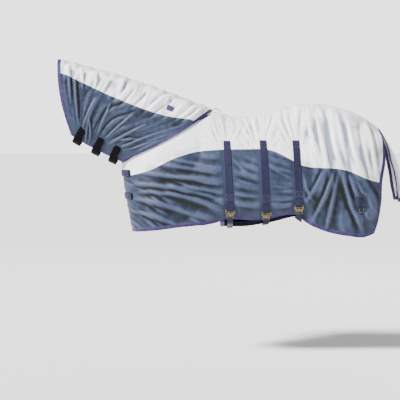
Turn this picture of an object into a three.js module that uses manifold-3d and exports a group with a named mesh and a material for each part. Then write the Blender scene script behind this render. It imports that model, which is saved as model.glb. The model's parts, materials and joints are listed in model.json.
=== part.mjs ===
// A fly sheet for a horse: a body sheet with a belly wrap and a tail flap, and a neck cover that
// lies over the sheet's collar. It is drawn as it hangs on a horse of about 16 hands.
// Millimetres. The head is towards -X, the horse's left is -Y and up is +Z. The origin is on the
// spine line at the withers, on the form that carries the sheet.
import * as THREE from "three";
import Module from "manifold-3d";
import { mergeVertices } from "three/addons/utils/BufferGeometryUtils.js";

const wasm = await Module();
wasm.setup();

// Overall sizes.
const backLength = 1110; // withers to dock, along X
const chestLength = 600; // withers to the front of the chest, along X
const drop = 785; // withers to the hem at the chest
const barrelWidth = 630; // across the widest part of the barrel
const neckLength = 1077; // withers to poll, along the neck
const neckDepth = 560; // crest to throat, at the base of the neck
const neckWidth = 380; // across the base of the neck
const pollWidth = 210; // across the neck cover at the poll
const neckRise = 22; // degrees that the neck's line climbs

// Fabric and tapes.
const fabric = 3; // thickness of a panel
const tape = 2.4; // thickness of a binding
const hemTape = 24; // width of a binding
const seamGap = 0.5; // between two pieces that meet at a seam
const layGap = 0.5; // between a binding and the panel that it lies on
const coverGap = 11; // between the collar and the neck cover that lies over it
const webbing = 2.2; // thickness of a strap
const strapWidth = 46;

const hookWidth = 38; // width of a belly strap, and of a chest strap
const frontGap = 9; // half the gap between the two front edges

// The horse that the sheet is cut for.
const buttock = 105; // from the dock to the end of the form, along X
const degrees = Math.PI / 180;

const clamp = (v, low, high) => Math.min(high, Math.max(low, v));
const mix = (a, b, t) => a + (b - a) * t;

// A smooth line through [place, value] points, read at any place.
function lineThrough(points) {
  const slope = (k) => {
    const [a, b] = [points[Math.max(0, k - 1)], points[Math.min(points.length - 1, k + 1)]];
    return (b[1] - a[1]) / (b[0] - a[0]);
  };
  return (place) => {
    const at = clamp(place, points[0][0], points[points.length - 1][0]);
    const next = points.findIndex((p, k) => k > 0 && at <= p[0]);
    const [a, b] = [points[next - 1], points[next]];
    const width = b[0] - a[0];
    const t = (at - a[0]) / width;
    return (
      (1 + 2 * t) * (1 - t) ** 2 * a[1] +
      t * (1 - t) ** 2 * width * slope(next - 1) +
      t * t * (3 - 2 * t) * b[1] +
      t * t * (t - 1) * width * slope(next)
    );
  };
}

// An outline in the side view: its points are shares of the length and of the drop.
const outline = (points) =>
  lineThrough(points.map(([u, v]) => [u * (u < 0 ? chestLength : backLength), v * drop]));

// --- The form that carries the sheet: half its width at each place of the side view. ---

const spine = outline([[-1, -0.42], [-0.1, -0.025], [0, 0], [0.1, -0.039], [0.25, -0.042],
  [0.34, -0.017], [0.4, 0.027], [0.49, 0.0585], [0.58, 0.0675], [0.67, 0.0585], [0.76, 0.032],
  [0.85, -0.018], [0.925, -0.077], [1, -0.157]]);
const widestAt = outline([[-1, -0.56], [0, -0.55], [0.4, -0.54], [0.75, -0.43], [1, -0.46]]);
const girth = lineThrough([[-0.5 * chestLength, 0.78], [0, 0.9], [0.27 * backLength, 1],
  [0.5 * backLength, 0.96], [0.77 * backLength, 0.91], [backLength, 0.87]]);
const tuckIn = lineThrough([[-chestLength, 0.1], [-0.1 * backLength, 0.2], [0.09 * backLength, 0.42],
  [0.45 * backLength, 0.42], [0.6 * backLength, 0.16], [backLength, 0.1]]);
const shoulderX = -0.5 * chestLength; // the chest rounds off in front of this
const rumpX = 0.8 * backLength; // the buttocks round off behind this
const chestTop = -0.412 * drop;
const chestRake = 72; // the front edge leans back by this down to the hem

const frontLine = (z) => -chestLength + chestRake * clamp((chestTop - z) / (chestTop + drop), 0, 1) ** 1.4;

// The share of the full width at a height, above and below the widest line.
function girthShare(x, z) {
  const [top, wide] = [spine(x), widestAt(x)];
  if (z >= wide) return Math.sqrt(Math.max(0, 1 - ((z - wide) / (top - wide)) ** 2));
  return 1 - tuckIn(x) * ((wide - z) / (wide + drop)) ** 2;
}

function trunkHalf(x, z) {
  let ends = 1;
  if (x < shoulderX) ends = 1 - ((shoulderX - x) / (shoulderX - frontLine(z))) ** 2;
  if (x > rumpX) ends = 1 - ((x - rumpX) / (backLength + buttock - rumpX)) ** 2;
  return (barrelWidth / 2) * girth(x) * Math.sqrt(Math.max(0, ends)) * girthShare(x, z);
}

// The neck has its own axes: along it from the withers, and up from its line.
const rise = neckRise * degrees;
const neckToSide = (along, up) => [
  -along * Math.cos(rise) + up * Math.sin(rise),
  along * Math.sin(rise) + up * Math.cos(rise),
];
const sideToNeck = (x, z) => [
  -x * Math.cos(rise) + z * Math.sin(rise),
  x * Math.sin(rise) + z * Math.cos(rise),
];
const crest = (along) => coverGap - 1 + 20 * (along / neckLength) - 92 * (along / neckLength) ** 2;
const throat = (along) => -neckDepth + 150 * (along / neckLength) ** 4;
const neckHalfWidth = lineThrough([[-150, 0], [60, neckWidth / 2], [0.3 * neckLength, 0.93 * neckWidth / 2],
  [0.6 * neckLength, mix(pollWidth, neckWidth, 0.35) / 2], [neckLength, pollWidth / 2]]);

function neckHalf(x, z, grow) {
  const [along, up] = sideToNeck(x, z);
  const top = crest(along) - coverGap;
  const middle = (top + throat(along)) / 2;
  const half = (top - throat(along)) / 2 + grow;
  const share = Math.sqrt(Math.max(0, 1 - ((up - middle) / half) ** 2));
  return (neckHalfWidth(along) + grow) * share;
}

// Trunk and neck run into each other smoothly.
function halfWidth(x, z, grow = 0) {
  const [trunk, neck] = [trunkHalf(x, z) + grow * (x < 0 ? 1 : 0), neckHalf(x, z, grow)];
  return (Math.max(0, trunk) ** 4 + neck ** 4) ** 0.25;
}

// --- Lattices of points on the form, and thick pieces cut from their cells. ---

// Normals of a lattice by its neighbours. A point on the middle plane keeps its normal in it.
function normalsOf(points, outwards) {
  const columns = points.length;
  const rows = points[0].length;
  return points.map((column, i) =>
    column.map((point, j) => {
      const along = points[Math.min(i + 1, columns - 1)][j].clone().sub(points[Math.max(i - 1, 0)][j]);
      const down = column[Math.min(j + 1, rows - 1)].clone().sub(column[Math.max(j - 1, 0)]);
      const normal = along.cross(down).multiplyScalar(outwards);
      if (Math.abs(point.y) < 1) normal.y = 0;
      return normal.normalize();
    }),
  );
}

// A closed solid over the lattice cells that keep(i, j) picks, from one height to another above them.
function shell(lattice, keep, low, high) {
  const { points, normals } = lattice;
  const [columns, rows] = [points.length - 1, points[0].length - 1];
  const kept = (i, j) => i >= 0 && j >= 0 && i < columns && j < rows && keep(i, j);
  const spots = [];
  const faces = [];
  const index = new Map();
  const spot = (i, j, height) => {
    const key = `${i},${j},${height}`;
    if (!index.has(key)) {
      index.set(key, spots.length / 3);
      const p = points[i][j].clone().addScaledVector(normals[i][j], height);
      spots.push(p.x, p.y, p.z);
    }
    return index.get(key);
  };
  const quad = (a, b, c, d) => faces.push(a, b, c, a, c, d);
  for (let i = 0; i < columns; i += 1) {
    for (let j = 0; j < rows; j += 1) {
      if (!kept(i, j)) continue;
      quad(spot(i, j, high), spot(i, j + 1, high), spot(i + 1, j + 1, high), spot(i + 1, j, high));
      quad(spot(i, j, low), spot(i + 1, j, low), spot(i + 1, j + 1, low), spot(i, j + 1, low));
      const edges = [
        [kept(i - 1, j), i, j, i, j + 1],
        [kept(i, j + 1), i, j + 1, i + 1, j + 1],
        [kept(i + 1, j), i + 1, j + 1, i + 1, j],
        [kept(i, j - 1), i + 1, j, i, j],
      ];
      for (const [joined, a, b, c, d] of edges) {
        if (!joined) quad(spot(c, d, high), spot(a, b, high), spot(a, b, low), spot(c, d, low));
      }
    }
  }
  return closed(spots, lattice.outwards < 0 ? faces : faces.reverse());
}

function closed(spots, faces) {
  const geometry = new THREE.BufferGeometry();
  geometry.setAttribute("position", new THREE.Float32BufferAttribute(spots, 3));
  geometry.setIndex(faces);
  return geometry;
}

const everyCell = () => true;

// A lattice from two lists of shares and a function that gives the point at each pair.
function latticeOf(columns, rows, place, outwards) {
  const points = columns.map((s) => rows.map((t) => place(s, t)));
  return { points, normals: normalsOf(points, outwards), outwards };
}

// --- Booleans. ---

function solidOf(geometry) {
  const bare = geometry.clone();
  bare.deleteAttribute("normal");
  bare.deleteAttribute("uv");
  const merged = mergeVertices(bare, 1e-3);
  return new wasm.Manifold(
    new wasm.Mesh({
      numProp: 3,
      vertProperties: merged.attributes.position.array,
      triVerts: new Uint32Array(merged.index.array),
    }),
  );
}

function geometryOf(solid) {
  const mesh = solid.getMesh();
  return closed(Array.from(mesh.vertProperties), Array.from(mesh.triVerts));
}

const joined = (...pieces) => geometryOf(pieces.map(solidOf).reduce((a, b) => a.add(b)));

// --- Materials. ---

const finish = (color, roughness, metalness = 0) =>
  new THREE.MeshStandardMaterial({ color, roughness, metalness });
const whiteCloth = finish(0xe9e9e4, 0.75);
const navyMesh = finish(0x55658a, 0.8);
const bindingTape = finish(0x5a4f80, 0.75);
const navyWebbing = finish(0x3d3a63, 0.8);
const touchTape = finish(0x17161c, 0.9);
const brass = finish(0xa89a6c, 0.35, 1);

const sheet = new THREE.Group();
const neckCover = new THREE.Group();
const tail = new THREE.Group();
sheet.add(neckCover, tail);

function add(group, name, geometry, material) {
  const mesh = new THREE.Mesh(geometry, material);
  mesh.name = name;
  group.add(mesh);
  return mesh;
}

// --- Body sheet: one lattice for each side. ---

const neckline = lineThrough([[-chestLength, chestTop], [-0.8 * chestLength, -0.31 * drop],
  [-0.5 * chestLength, -0.17 * drop], [-0.2 * chestLength, -0.06 * drop],
  [-0.08 * chestLength, -0.033 * drop], [0, 0]]);
const topEdge = (x) => (x < 0 ? neckline(x) : spine(x));
const seam = outline([[-1, -0.545], [-0.7, -0.485], [-0.42, -0.383], [-0.17, -0.327], [0.19, -0.307],
  [0.333, -0.317], [0.464, -0.404], [0.532, -0.446], [0.755, -0.472], [0.9, -0.553], [1, -0.59]]);
const hem = outline([[-0.9, -1], [-0.6, -0.972], [-0.3, -0.94], [0, -0.916], [0.09, -0.885],
  [0.28, -0.889], [0.47, -0.842], [0.55, -0.915], [0.67, -0.985], [0.79, -1.018], [0.88, -1.03],
  [1, -0.96]]);
const rearEdge = lineThrough([[-1.02 * drop, 0.925 * backLength], [-0.93 * drop, 0.955 * backLength],
  [-0.8 * drop, 0.975 * backLength], [-0.55 * drop, 0.985 * backLength],
  [-0.3 * drop, 1.003 * backLength], [-0.155 * drop, 0.99 * backLength]]);
const frontCells = 4; // columns round the chest, inside the binding
const shoulderCells = 4; // columns from there to the withers
const backCells = 13; // columns from the withers to the binding at the rear
const upperCells = 6; // rows from the spine to the seam
const lowerCells = 5; // rows from the seam to the binding at the hem
const chestHalf = 0.39 * barrelWidth;
const startAngle = Math.asin(frontGap / chestHalf);
const bandAngle = startAngle + hemTape / chestHalf;
const spineEnd = rearEdge(-0.155 * drop);
const withersShare = -shoulderX / (spineEnd - hemTape - shoulderX);
const withersColumn = 1 + frontCells + shoulderCells;
const rearColumn = withersColumn + backCells + 1;
const hemRow = upperCells + lowerCells + 1;

// The height of row t at x. The last row is the hem and the one before it is the binding's edge.
function rowHeight(t, x) {
  if (t <= upperCells) return mix(topEdge(x), seam(x), (t / upperCells) ** 2);
  if (t === hemRow) return hem(x);
  return mix(seam(x), hem(x) + hemTape, (t - upperCells) / lowerCells);
}

function sidePlace(side, s, t) {
  const front = frontLine(rowHeight(t, -0.95 * chestLength));
  const rear = rearEdge(rowHeight(t, 0.96 * backLength));
  let x;
  if (s <= frontCells + 1) {
    const angle = s === 0 ? startAngle : mix(bandAngle, Math.PI / 2, (s - 1) / frontCells);
    x = shoulderX - (shoulderX - front) * Math.cos(angle);
  } else if (s === rearColumn) {
    x = rear;
  } else {
    const past = (s - withersColumn) / (s < withersColumn ? shoulderCells : backCells);
    const share = past < 0 ? withersShare * (1 + past) : mix(withersShare, 1, past);
    x = mix(shoulderX, rear - hemTape, share);
  }
  const z = rowHeight(t, x);
  let y = Math.max(halfWidth(x, z), frontGap);
  if (s === 0) y = frontGap;
  if (s >= withersColumn && t === 0) y = seamGap / 2;
  return new THREE.Vector3(x, side * y, z);
}

const range = (from, to) => Array.from({ length: to - from + 1 }, (_, k) => from + k);

// The rows of a lattice from one to another; the row at the seam stands back from it.
function rowsOf(lattice, from, to, seamRow, by) {
  const rows = range(from, to);
  const points = lattice.points.map((column) => rows.map((j) => {
    const p = column[j].clone();
    if (j === seamRow) p.z += by;
    return p;
  }));
  const normals = lattice.normals.map((column) => rows.map((j) => column[j]));
  return { points, normals, outwards: lattice.outwards };
}

// The binding covers the cells along the first and the last column and the last row.
function edgeCells(lattice) {
  const [lastColumn, lastRow] = [lattice.points.length - 2, lattice.points[0].length - 2];
  return (i, j) => i === 0 || i === lastColumn || j === lastRow;
}

// A tape over the middle, where the first rows of two sides meet, between two columns.
function middleTape(left, right, from, to, width, low, high) {
  const strip = { points: [], normals: [], outwards: 1 };
  for (const i of range(from, to)) {
    const shift = i === from ? 1 : i === to ? -1 : 0;
    const row = [left, null, right].map((side) => {
      const [start, n] = [left.points[i][0].clone().setY(0), left.normals[i][0].clone()];
      if (side) {
        const way = side.points[i][1].clone().sub(side.points[i][0]);
        const share = width / 2 / way.length();
        start.copy(side.points[i][0]).addScaledVector(way, share);
        n.lerp(side.normals[i][1], share).normalize();
      }
      start.x += shift;
      return { p: start, n };
    });
    strip.points.push(row.map(({ p }) => p));
    strip.normals.push(row.map(({ n }) => n));
  }
  return shell(strip, everyCell, low, high);
}

const bindingLow = fabric + layGap;
const bindingHigh = bindingLow + tape;

function bodySide(side, word) {
  const whole = latticeOf(range(0, rearColumn), range(0, hemRow), (s, t) => sidePlace(side, s, t), side);
  const upper = rowsOf(whole, 0, upperCells, upperCells, seamGap / 2);
  const lower = rowsOf(whole, upperCells, hemRow, upperCells, -seamGap / 2);
  const inCollar = (i, j) => i > 0 && i < withersColumn - 1 && j < 2;
  add(sheet, `${word}_upper_panel`, shell(upper, everyCell, 0, fabric), whiteCloth);
  add(sheet, `${word}_lower_panel`, shell(lower, everyCell, 0, fabric), navyMesh);
  add(sheet, `${word}_hem_binding`, shell(whole, edgeCells(whole), bindingLow, bindingHigh), bindingTape);
  add(sheet, `${word}_collar_binding`,
    shell(whole, inCollar, bindingLow, bindingLow + 0.6 * tape), bindingTape);
  return whole;
}

const leftSide = bodySide(-1, "left");
const rightSide = bodySide(1, "right");
add(sheet, "spine_tape",
  middleTape(leftSide, rightSide, withersColumn, rearColumn - 1, 26, fabric + 1, bindingHigh), whiteCloth);

// --- Neck cover: from the face to the withers, and from the crest to the throat. ---

const throatFront = [-0.864 * neckLength, -0.141 * neckLength];
const throatBack = [-0.557 * neckLength, -0.3 * neckLength];
const throatLength = Math.hypot(throatBack[0] - throatFront[0], throatBack[1] - throatFront[1]);
const faceBulge = 22; // the face edge rounds forward by this
const rearBulge = 27; // the rear edge rounds down by this
const throatSag = 8; // the throat edge hangs by this
const neckCells = 11; // columns between the bindings
const neckUpperCells = 5; // rows from the crest to the seam
const neckLowerCells = 6; // rows from the seam to the binding at the throat
const neckSeam = lineThrough([[0, 0.17], [0.3, 0.25], [0.55, 0.28], [0.8, 0.26], [1, 0.18]]);
const faceColumn = 0;
const shoulderColumn = neckCells + 2;
const throatRow = neckUpperCells + neckLowerCells + 1;

// The share of the way along a row, with a binding's width at each end.
function neckShare(s, v) {
  if (s === faceColumn) return 0;
  if (s === shoulderColumn) return 1;
  const band = hemTape / mix(neckLength, throatLength, v);
  return mix(band, 1 - band, (s - 1) / neckCells);
}

// A place on one side of the form under the cover: u from face to withers, v from crest to throat.
function neckPoint(u, v) {
  const along = 3 + (neckLength - 3) * (1 - u);
  const [topX, topZ] = neckToSide(along, crest(along));
  const bulge = Math.sin(Math.PI * v);
  const sag = throatSag * Math.sin(Math.PI * u) * v;
  return [
    mix(topX, mix(throatFront[0], throatBack[0], u), v) - (1 - u) * faceBulge * bulge,
    mix(topZ, mix(throatFront[1], throatBack[1], u), v) - u * rearBulge * bulge - sag,
  ];
}

function neckPlace(side, s, t) {
  let v = t === throatRow ? 1 : 0;
  for (let pass = 0; pass < 2 && t > 0 && t < throatRow; pass += 1) {
    const seamAt = neckSeam(neckShare(s, v));
    v = t <= neckUpperCells
      ? seamAt * (t / neckUpperCells) ** 2
      : mix(seamAt, 1 - hemTape / neckDepth, (t - neckUpperCells) / neckLowerCells);
  }
  const [x, z] = neckPoint(neckShare(s, v), v);
  return new THREE.Vector3(x, side * (t === 0 ? seamGap / 2 : halfWidth(x, z, coverGap)), z);
}

function neckSide(side, word) {
  const whole = latticeOf(range(0, shoulderColumn), range(0, throatRow),
    (s, t) => neckPlace(side, s, t), side);
  const upper = rowsOf(whole, 0, neckUpperCells, neckUpperCells, seamGap / 2);
  const lower = rowsOf(whole, neckUpperCells, throatRow, neckUpperCells, -seamGap / 2);
  add(neckCover, `${word}_neck_upper`, shell(upper, everyCell, 0, fabric), whiteCloth);
  add(neckCover, `${word}_neck_lower`, shell(lower, everyCell, 0, fabric), navyMesh);
  add(neckCover, `${word}_neck_binding`,
    shell(whole, edgeCells(whole), bindingLow, bindingHigh), bindingTape);
  return whole;
}

const leftNeck = neckSide(-1, "left");
const rightNeck = neckSide(1, "right");
add(neckCover, "crest_tape",
  middleTape(leftNeck, rightNeck, 1, shoulderColumn - 1, 26, fabric + 1, bindingHigh), whiteCloth);

// --- Straps and patches that lie on the form. ---

// The form's outward normal at a place of the side view.
function normalAt(side, x, z, grow) {
  const step = 3;
  const slopeX = (halfWidth(x + step, z, grow) - halfWidth(x - step, z, grow)) / (2 * step);
  const slopeZ = (halfWidth(x, z + step, grow) - halfWidth(x, z - step, grow)) / (2 * step);
  return new THREE.Vector3(-slopeX, side, -slopeZ).normalize();
}

const onForm = (side, x, z, grow) => new THREE.Vector3(x, side * halfWidth(x, z, grow), z);

// A flat strip on the form between two places, from one height above it to another.
function stripOn(side, [x0, z0], [x1, z1], width, cells, low, high, grow = 0) {
  const length = Math.hypot(x1 - x0, z1 - z0);
  const [acrossX, acrossZ] = [(z1 - z0) / length, (x0 - x1) / length];
  const strip = { points: [], normals: [], outwards: -side };
  for (const k of range(0, cells)) {
    const places = [0.5, -0.5].map((half) => [
      mix(x0, x1, k / cells) + half * width * acrossX,
      mix(z0, z1, k / cells) + half * width * acrossZ,
    ]);
    strip.points.push(places.map(([x, z]) => onForm(side, x, z, grow)));
    strip.normals.push(places.map(([x, z]) => normalAt(side, x, z, grow)));
  }
  return shell(strip, everyCell, low, high);
}

// A band whose lines, from one edge to the other, each follow a path of their own.
function band(paths, thickness) {
  const points = paths[0].map((_, i) => paths.map((path) => path[i]));
  return shell({ points, normals: normalsOf(points, 1), outwards: 1 }, everyCell, 0, thickness);
}

function smoothPath(points, cells) {
  return new THREE.CatmullRomCurve3(points, false, "centripetal").getSpacedPoints(cells);
}

// --- Surcingle straps with their clasps, and the belly straps that hook on to them. ---

const strapLow = bindingHigh + 1;
const strapTops = [-0.24 * drop, -0.235 * drop, -0.235 * drop];
const strapXs = [0.078 * backLength, 0.288 * backLength, 0.478 * backLength];
const strapLean = 22; // a strap's lower end lies this far behind its upper end
const claspDrops = [0.8, 0.815, 0.765].map((share) => share * drop);
const plateWidth = 62;
const plateBar = 5;
const plateSlot = 8;
const hookLength = 30;

// Turns a flat outline into a plate: x along the horse, y up, z out of the horse.
function plateOf(outer, holes, thickness, low) {
  outer.holes = holes;
  const settings = { depth: thickness, bevelEnabled: false, curveSegments: 1 };
  return new THREE.ExtrudeGeometry(outer, settings).translate(0, 0, low);
}

function roundHole(x, y, radius) {
  const corners = range(0, 7).map((k) => (k * Math.PI) / 4);
  const points = corners.map((a) => new THREE.Vector2(x + radius * Math.cos(a), y + radius * Math.sin(a)));
  return new THREE.Shape(points);
}

function roundedBox(left, bottom, right, top, radius) {
  const shape = new THREE.Shape();
  shape.moveTo(left + radius, bottom);
  shape.lineTo(right - radius, bottom);
  shape.absarc(right - radius, bottom + radius, radius, -Math.PI / 2, 0);
  shape.lineTo(right, top - radius);
  shape.absarc(right - radius, top - radius, radius, 0, Math.PI / 2);
  shape.lineTo(left + radius, top);
  shape.absarc(left + radius, top - radius, radius, Math.PI / 2, Math.PI);
  shape.lineTo(left, bottom + radius);
  shape.absarc(left + radius, bottom + radius, radius, Math.PI, 1.5 * Math.PI);
  return shape;
}

// A webbing loop round a bar that runs along x: its inside clears the bar all round.
function loopRound(barHeight, barThickness, y, z, width) {
  const [halfHeight, halfDepth] = [barHeight / 2 + 1.5, barThickness / 2 + 1.3];
  const outer = roundedBox(-halfDepth - webbing, -halfHeight - webbing, halfDepth + webbing,
    halfHeight + webbing, 3);
  const inner = roundedBox(-halfDepth, -halfHeight, halfDepth, halfHeight, 1);
  const ring = plateOf(outer, [inner], width, -width / 2);
  return ring.rotateY(-Math.PI / 2).translate(0, y, z);
}

// Places a piece on the form: its x along the horse, y up the form and z out of it.
function standing(side, x, z, lift) {
  const n = normalAt(side, x, z, 0);
  const up = new THREE.Vector3(0, 0, 1).addScaledVector(n, -n.z).normalize();
  const along = up.clone().cross(n);
  const place = onForm(side, x, z, 0).addScaledVector(n, lift);
  return new THREE.Matrix4().makeBasis(along, up, n).setPosition(place);
}

const plateTop = plateBar / 2;
const hookSlotTop = -(plateTop + plateSlot + plateBar);
const plateBottom = hookSlotTop - plateSlot - plateBar;
const plate = plateOf(
  roundedBox(-plateWidth / 2, plateBottom, plateWidth / 2, plateTop, 2.4),
  [
    roundedBox(-strapWidth / 2 - 2, -plateTop - plateSlot, strapWidth / 2 + 2, -plateTop, 1.5),
    roundedBox(-16, hookSlotTop - plateSlot, 16, hookSlotTop, 1.5),
  ], 3, -1.5);

const hookBarY = hookSlotTop - plateSlot - hookLength;
const hookPlate = plateOf(
  roundedBox(-24, hookBarY - 2.5, 24, hookSlotTop - 4, 4),
  [
    roundHole(-9, hookSlotTop - 15, 3.2),
    roundHole(9, hookSlotTop - 15, 3.2),
    roundedBox(-20.5, hookBarY + 2.5, 20.5, hookBarY + 2.5 + plateSlot, 1.5),
  ], 3, 3);
const hookStem = plateOf(roundedBox(-5, hookSlotTop - 7, 5, hookSlotTop - 3, 1), [], 9.4, -5.6);
const hookBack = plateOf(roundedBox(-13, hookSlotTop - 8, 13, hookSlotTop - 2, 1.5), [], 3, -5.6);
const hook = joined(hookPlate, hookStem, hookBack);

const claspLift = strapLow + 6.2;

// --- The belly wrap: a sling from inside the right flank, under the belly, to the left hem. ---

const wrapFront = 0.045 * backLength;
// The rear binding stays behind the last strap.
const lastStrapRear = strapXs[2] + strapLean + hookWidth / 2;
const wrapRear = Math.max(0.54 * backLength, lastStrapRear + hemTape + 3.5);
const wrapCells = Math.ceil((wrapRear - wrapFront) / 138); // lattice cells up to 138 mm long
const wrapBottom = lineThrough([[wrapFront, -0.958 * drop], [0.19 * backLength, -0.958 * drop],
  [0.34 * backLength, -0.925 * drop], [0.46 * backLength, -0.883 * drop], [wrapRear, -0.87 * drop]]);
const wrapTop = 0.75 * drop; // where the wrap is sewn inside the right flank, below the spine
const wrapPathCells = 10;

// The wrap's inner surface across the horse at x, from the right flank to the left hem.
function wrapPath(x) {
  const low = wrapBottom(x);
  const inside = bindingHigh + 2.5;
  const turn = halfWidth(x, low + 70);
  return smoothPath([
    new THREE.Vector3(x, halfWidth(x, -wrapTop) - inside, -wrapTop),
    new THREE.Vector3(x, halfWidth(x, -wrapTop - 30) - inside - 2, -wrapTop - 30),
    new THREE.Vector3(x, 0.86 * turn, low + 50),
    new THREE.Vector3(x, 0.52 * turn, low + 9),
    new THREE.Vector3(x, 0, low),
    new THREE.Vector3(x, -0.5 * turn, low + 8),
    new THREE.Vector3(x, -0.82 * turn, low + 44),
  ], wrapPathCells);
}

const wrapTape = hemTape / (wrapRear - wrapFront); // a binding's share of the wrap's length
const wrapColumns = [0, wrapTape, ...range(1, wrapCells - 1).map((k) => k / wrapCells), 1 - wrapTape, 1];
const wrapPoints = wrapColumns.map((share) => wrapPath(mix(wrapFront, wrapRear, share)));
const wrap = { points: wrapPoints, normals: normalsOf(wrapPoints, 1), outwards: 1 };
add(sheet, "belly_wrap", shell(wrap, everyCell, 0, fabric), navyMesh);
add(sheet, "wrap_front_binding", shell(wrap, (i) => i === 0, bindingLow, bindingHigh), bindingTape);
add(sheet, "wrap_rear_binding",
  shell(wrap, (i) => i === wrapColumns.length - 2, bindingLow, bindingHigh), bindingTape);

strapXs.forEach((x, k) => {
  const clasp = new THREE.Group();
  sheet.add(clasp);
  const [lowX, lowZ] = [x + strapLean, -claspDrops[k]];
  const place = standing(-1, lowX, lowZ, claspLift);
  const ends = [[x, strapTops[k]], [lowX, lowZ + 5]];
  const flat = stripOn(-1, ...ends, strapWidth, 8, strapLow, strapLow + webbing);
  const loop = loopRound(plateBar, 3, 0, 0, strapWidth - 2).applyMatrix4(place);
  add(sheet, `surcingle_strap_${k + 1}`, joined(flat, loop), navyWebbing);
  add(clasp, `slot_plate_${k + 1}`, plate.clone().applyMatrix4(place), brass);
  add(clasp, `t_hook_${k + 1}`, hook.clone().applyMatrix4(place), brass);

  const paths = [0.5, -0.5].map((half) => {
    const at = lowX + half * hookWidth;
    const start = new THREE.Vector3(half * hookWidth, hookBarY - plateBar, 4.5).applyMatrix4(place);
    const besideHem = new THREE.Vector3(at, -halfWidth(at, hem(at)) - 6, hem(at) - 26);
    const centre = new THREE.Vector3(at, 0, wrapBottom(at) + 260);
    const under = [6, 7, 8, 9].map((i) => {
      const p = wrapPath(at)[i];
      return p.addScaledVector(p.clone().sub(centre).normalize(), strapLow + 1);
    });
    return smoothPath([...under, besideHem, start], 9);
  });
  const ring = loopRound(plateBar, 3, hookBarY, 4.5, hookWidth).applyMatrix4(place);
  add(clasp, `belly_strap_${k + 1}`, joined(ring, band(paths, webbing)), navyWebbing);
});

// --- Chest closures: two webbing tongues from the right that press on to pads on the left. ---

const chestHeights = [-0.51 * drop, -0.7 * drop];
const tongueRight = 36; // degrees round the chest from the middle, where a tongue is sewn
const tongueLeft = -34; // where its free end lies
const padInner = -11; // where a pad starts, beside the binding

// A strip round the chest at a height, between two angles from the middle.
function chestStrip(height, width, fromAngle, toAngle, cells, low, high) {
  const points = range(0, cells).map((k) => {
    const angle = mix(fromAngle, toAngle, k / cells) * degrees;
    return [0.5, -0.5].map((half) => {
      const z = height + half * width;
      const x = shoulderX - (shoulderX - frontLine(z)) * Math.cos(angle);
      return new THREE.Vector3(x, Math.sign(angle) * halfWidth(x, z), z);
    });
  });
  return shell({ points, normals: normalsOf(points, -1), outwards: -1 }, everyCell, low, high);
}

chestHeights.forEach((height, k) => {
  const tongue = new THREE.Group();
  sheet.add(tongue);
  add(sheet, `chest_pad_${k + 1}`,
    chestStrip(height, 44, padInner, tongueLeft - 2, 3, fabric + 1.4, fabric + 2.4), touchTape);
  add(tongue, `chest_strap_${k + 1}`,
    chestStrip(height, hookWidth, tongueRight, tongueLeft, 9, strapLow + 2, strapLow + 2 + webbing),
    navyWebbing);
});

// --- Throat straps: each is sewn to the right edge and presses on to a pad on the left. ---

const throatShares = [0.13, 0.5, 0.84]; // along the throat edge, from the face
const throatStrapWidth = 56;

throatShares.forEach((u, k) => {
  const fastening = new THREE.Group();
  neckCover.add(fastening);
  const [x, z] = neckPoint(u, 1);
  const [ahead, behind] = [neckPoint(u - 0.05, 1), neckPoint(u + 0.05, 1)];
  const along = new THREE.Vector3(behind[0] - ahead[0], 0, behind[1] - ahead[1]).normalize();
  // A place beside the throat edge: a way back along it, and a height up from it.
  const beside = (back, h) => [x + back * along.x - h * along.z, z + back * along.z + h * along.x];
  const paths = [0.5, 0, -0.5].map((half) => {
    const back = half * throatStrapWidth;
    const lifted = (side, h, lift) => {
      const place = beside(back, h);
      return onForm(side, ...place, coverGap).addScaledVector(normalAt(side, ...place, coverGap), lift);
    };
    const under = (share, h) => {
      const [px, pz] = beside(back, -h);
      return new THREE.Vector3(px, share * halfWidth(...beside(back, 0), coverGap), pz);
    };
    return smoothPath([
      lifted(1, 44, strapLow), lifted(1, 22, strapLow + 1), lifted(1, -1, strapLow + 5),
      under(0.7, 24), under(0, 38), under(-0.7, 24),
      lifted(-1, -1, strapLow + 5), lifted(-1, 22, strapLow + 1), lifted(-1, 46, strapLow),
      lifted(-1, 72, strapLow),
    ], 13);
  });
  add(fastening, `throat_strap_${k + 1}`, band(paths, webbing), touchTape);
  add(neckCover, `throat_pad_${k + 1}`,
    stripOn(-1, beside(0, 84), beside(0, 30), throatStrapWidth - 6, 2, fabric + 1.2, fabric + 2.2, coverGap),
    touchTape);
});

const labelAt = neckPoint(0.794, 0.159);
const labelEnds = [-1, 1].map((end) => [labelAt[0] + end * 23, labelAt[1] - end * 9]);
add(neckCover, "neck_label",
  stripOn(-1, ...labelEnds, 34, 2, fabric + 1.4, fabric + 2.4, coverGap), bindingTape);

// --- Tail flap: it hangs from the rear edge at the dock. ---

const flapTop = spine(backLength) - 2;
const flapDrop = 0.59 * drop;
const flapTopHalf = 58;
const flapHalf = 128;
const flapCurl = 46; // the flap's sides lie this far in front of its middle
const flapBack = lineThrough([[-1, 0.135], [-0.86, 0.123], [-0.57, 0.105], [-0.3, 0.074],
  [-0.1, 0.033], [0, 0.006]]);
const flapColumns = 5;
const flapRows = 7;

function flapPlace(s, t) {
  const v = t === flapRows + 1 ? 1 : (1 - hemTape / flapDrop) * (t / flapRows);
  const half = mix(flapTopHalf, flapHalf, v ** 0.7);
  const bandShare = hemTape / (2 * half);
  let u = mix(bandShare, 1 - bandShare, (s - 1) / flapColumns);
  if (s === 0) u = 0;
  if (s === flapColumns + 2) u = 1;
  const across = 2 * u - 1;
  const x = spineEnd + flapBack(-v) * backLength - flapCurl * Math.min(1, 2.5 * v) * across ** 2;
  return new THREE.Vector3(x, across * half, flapTop - v * flapDrop - 9 * (1 - v) * across ** 2);
}

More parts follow.
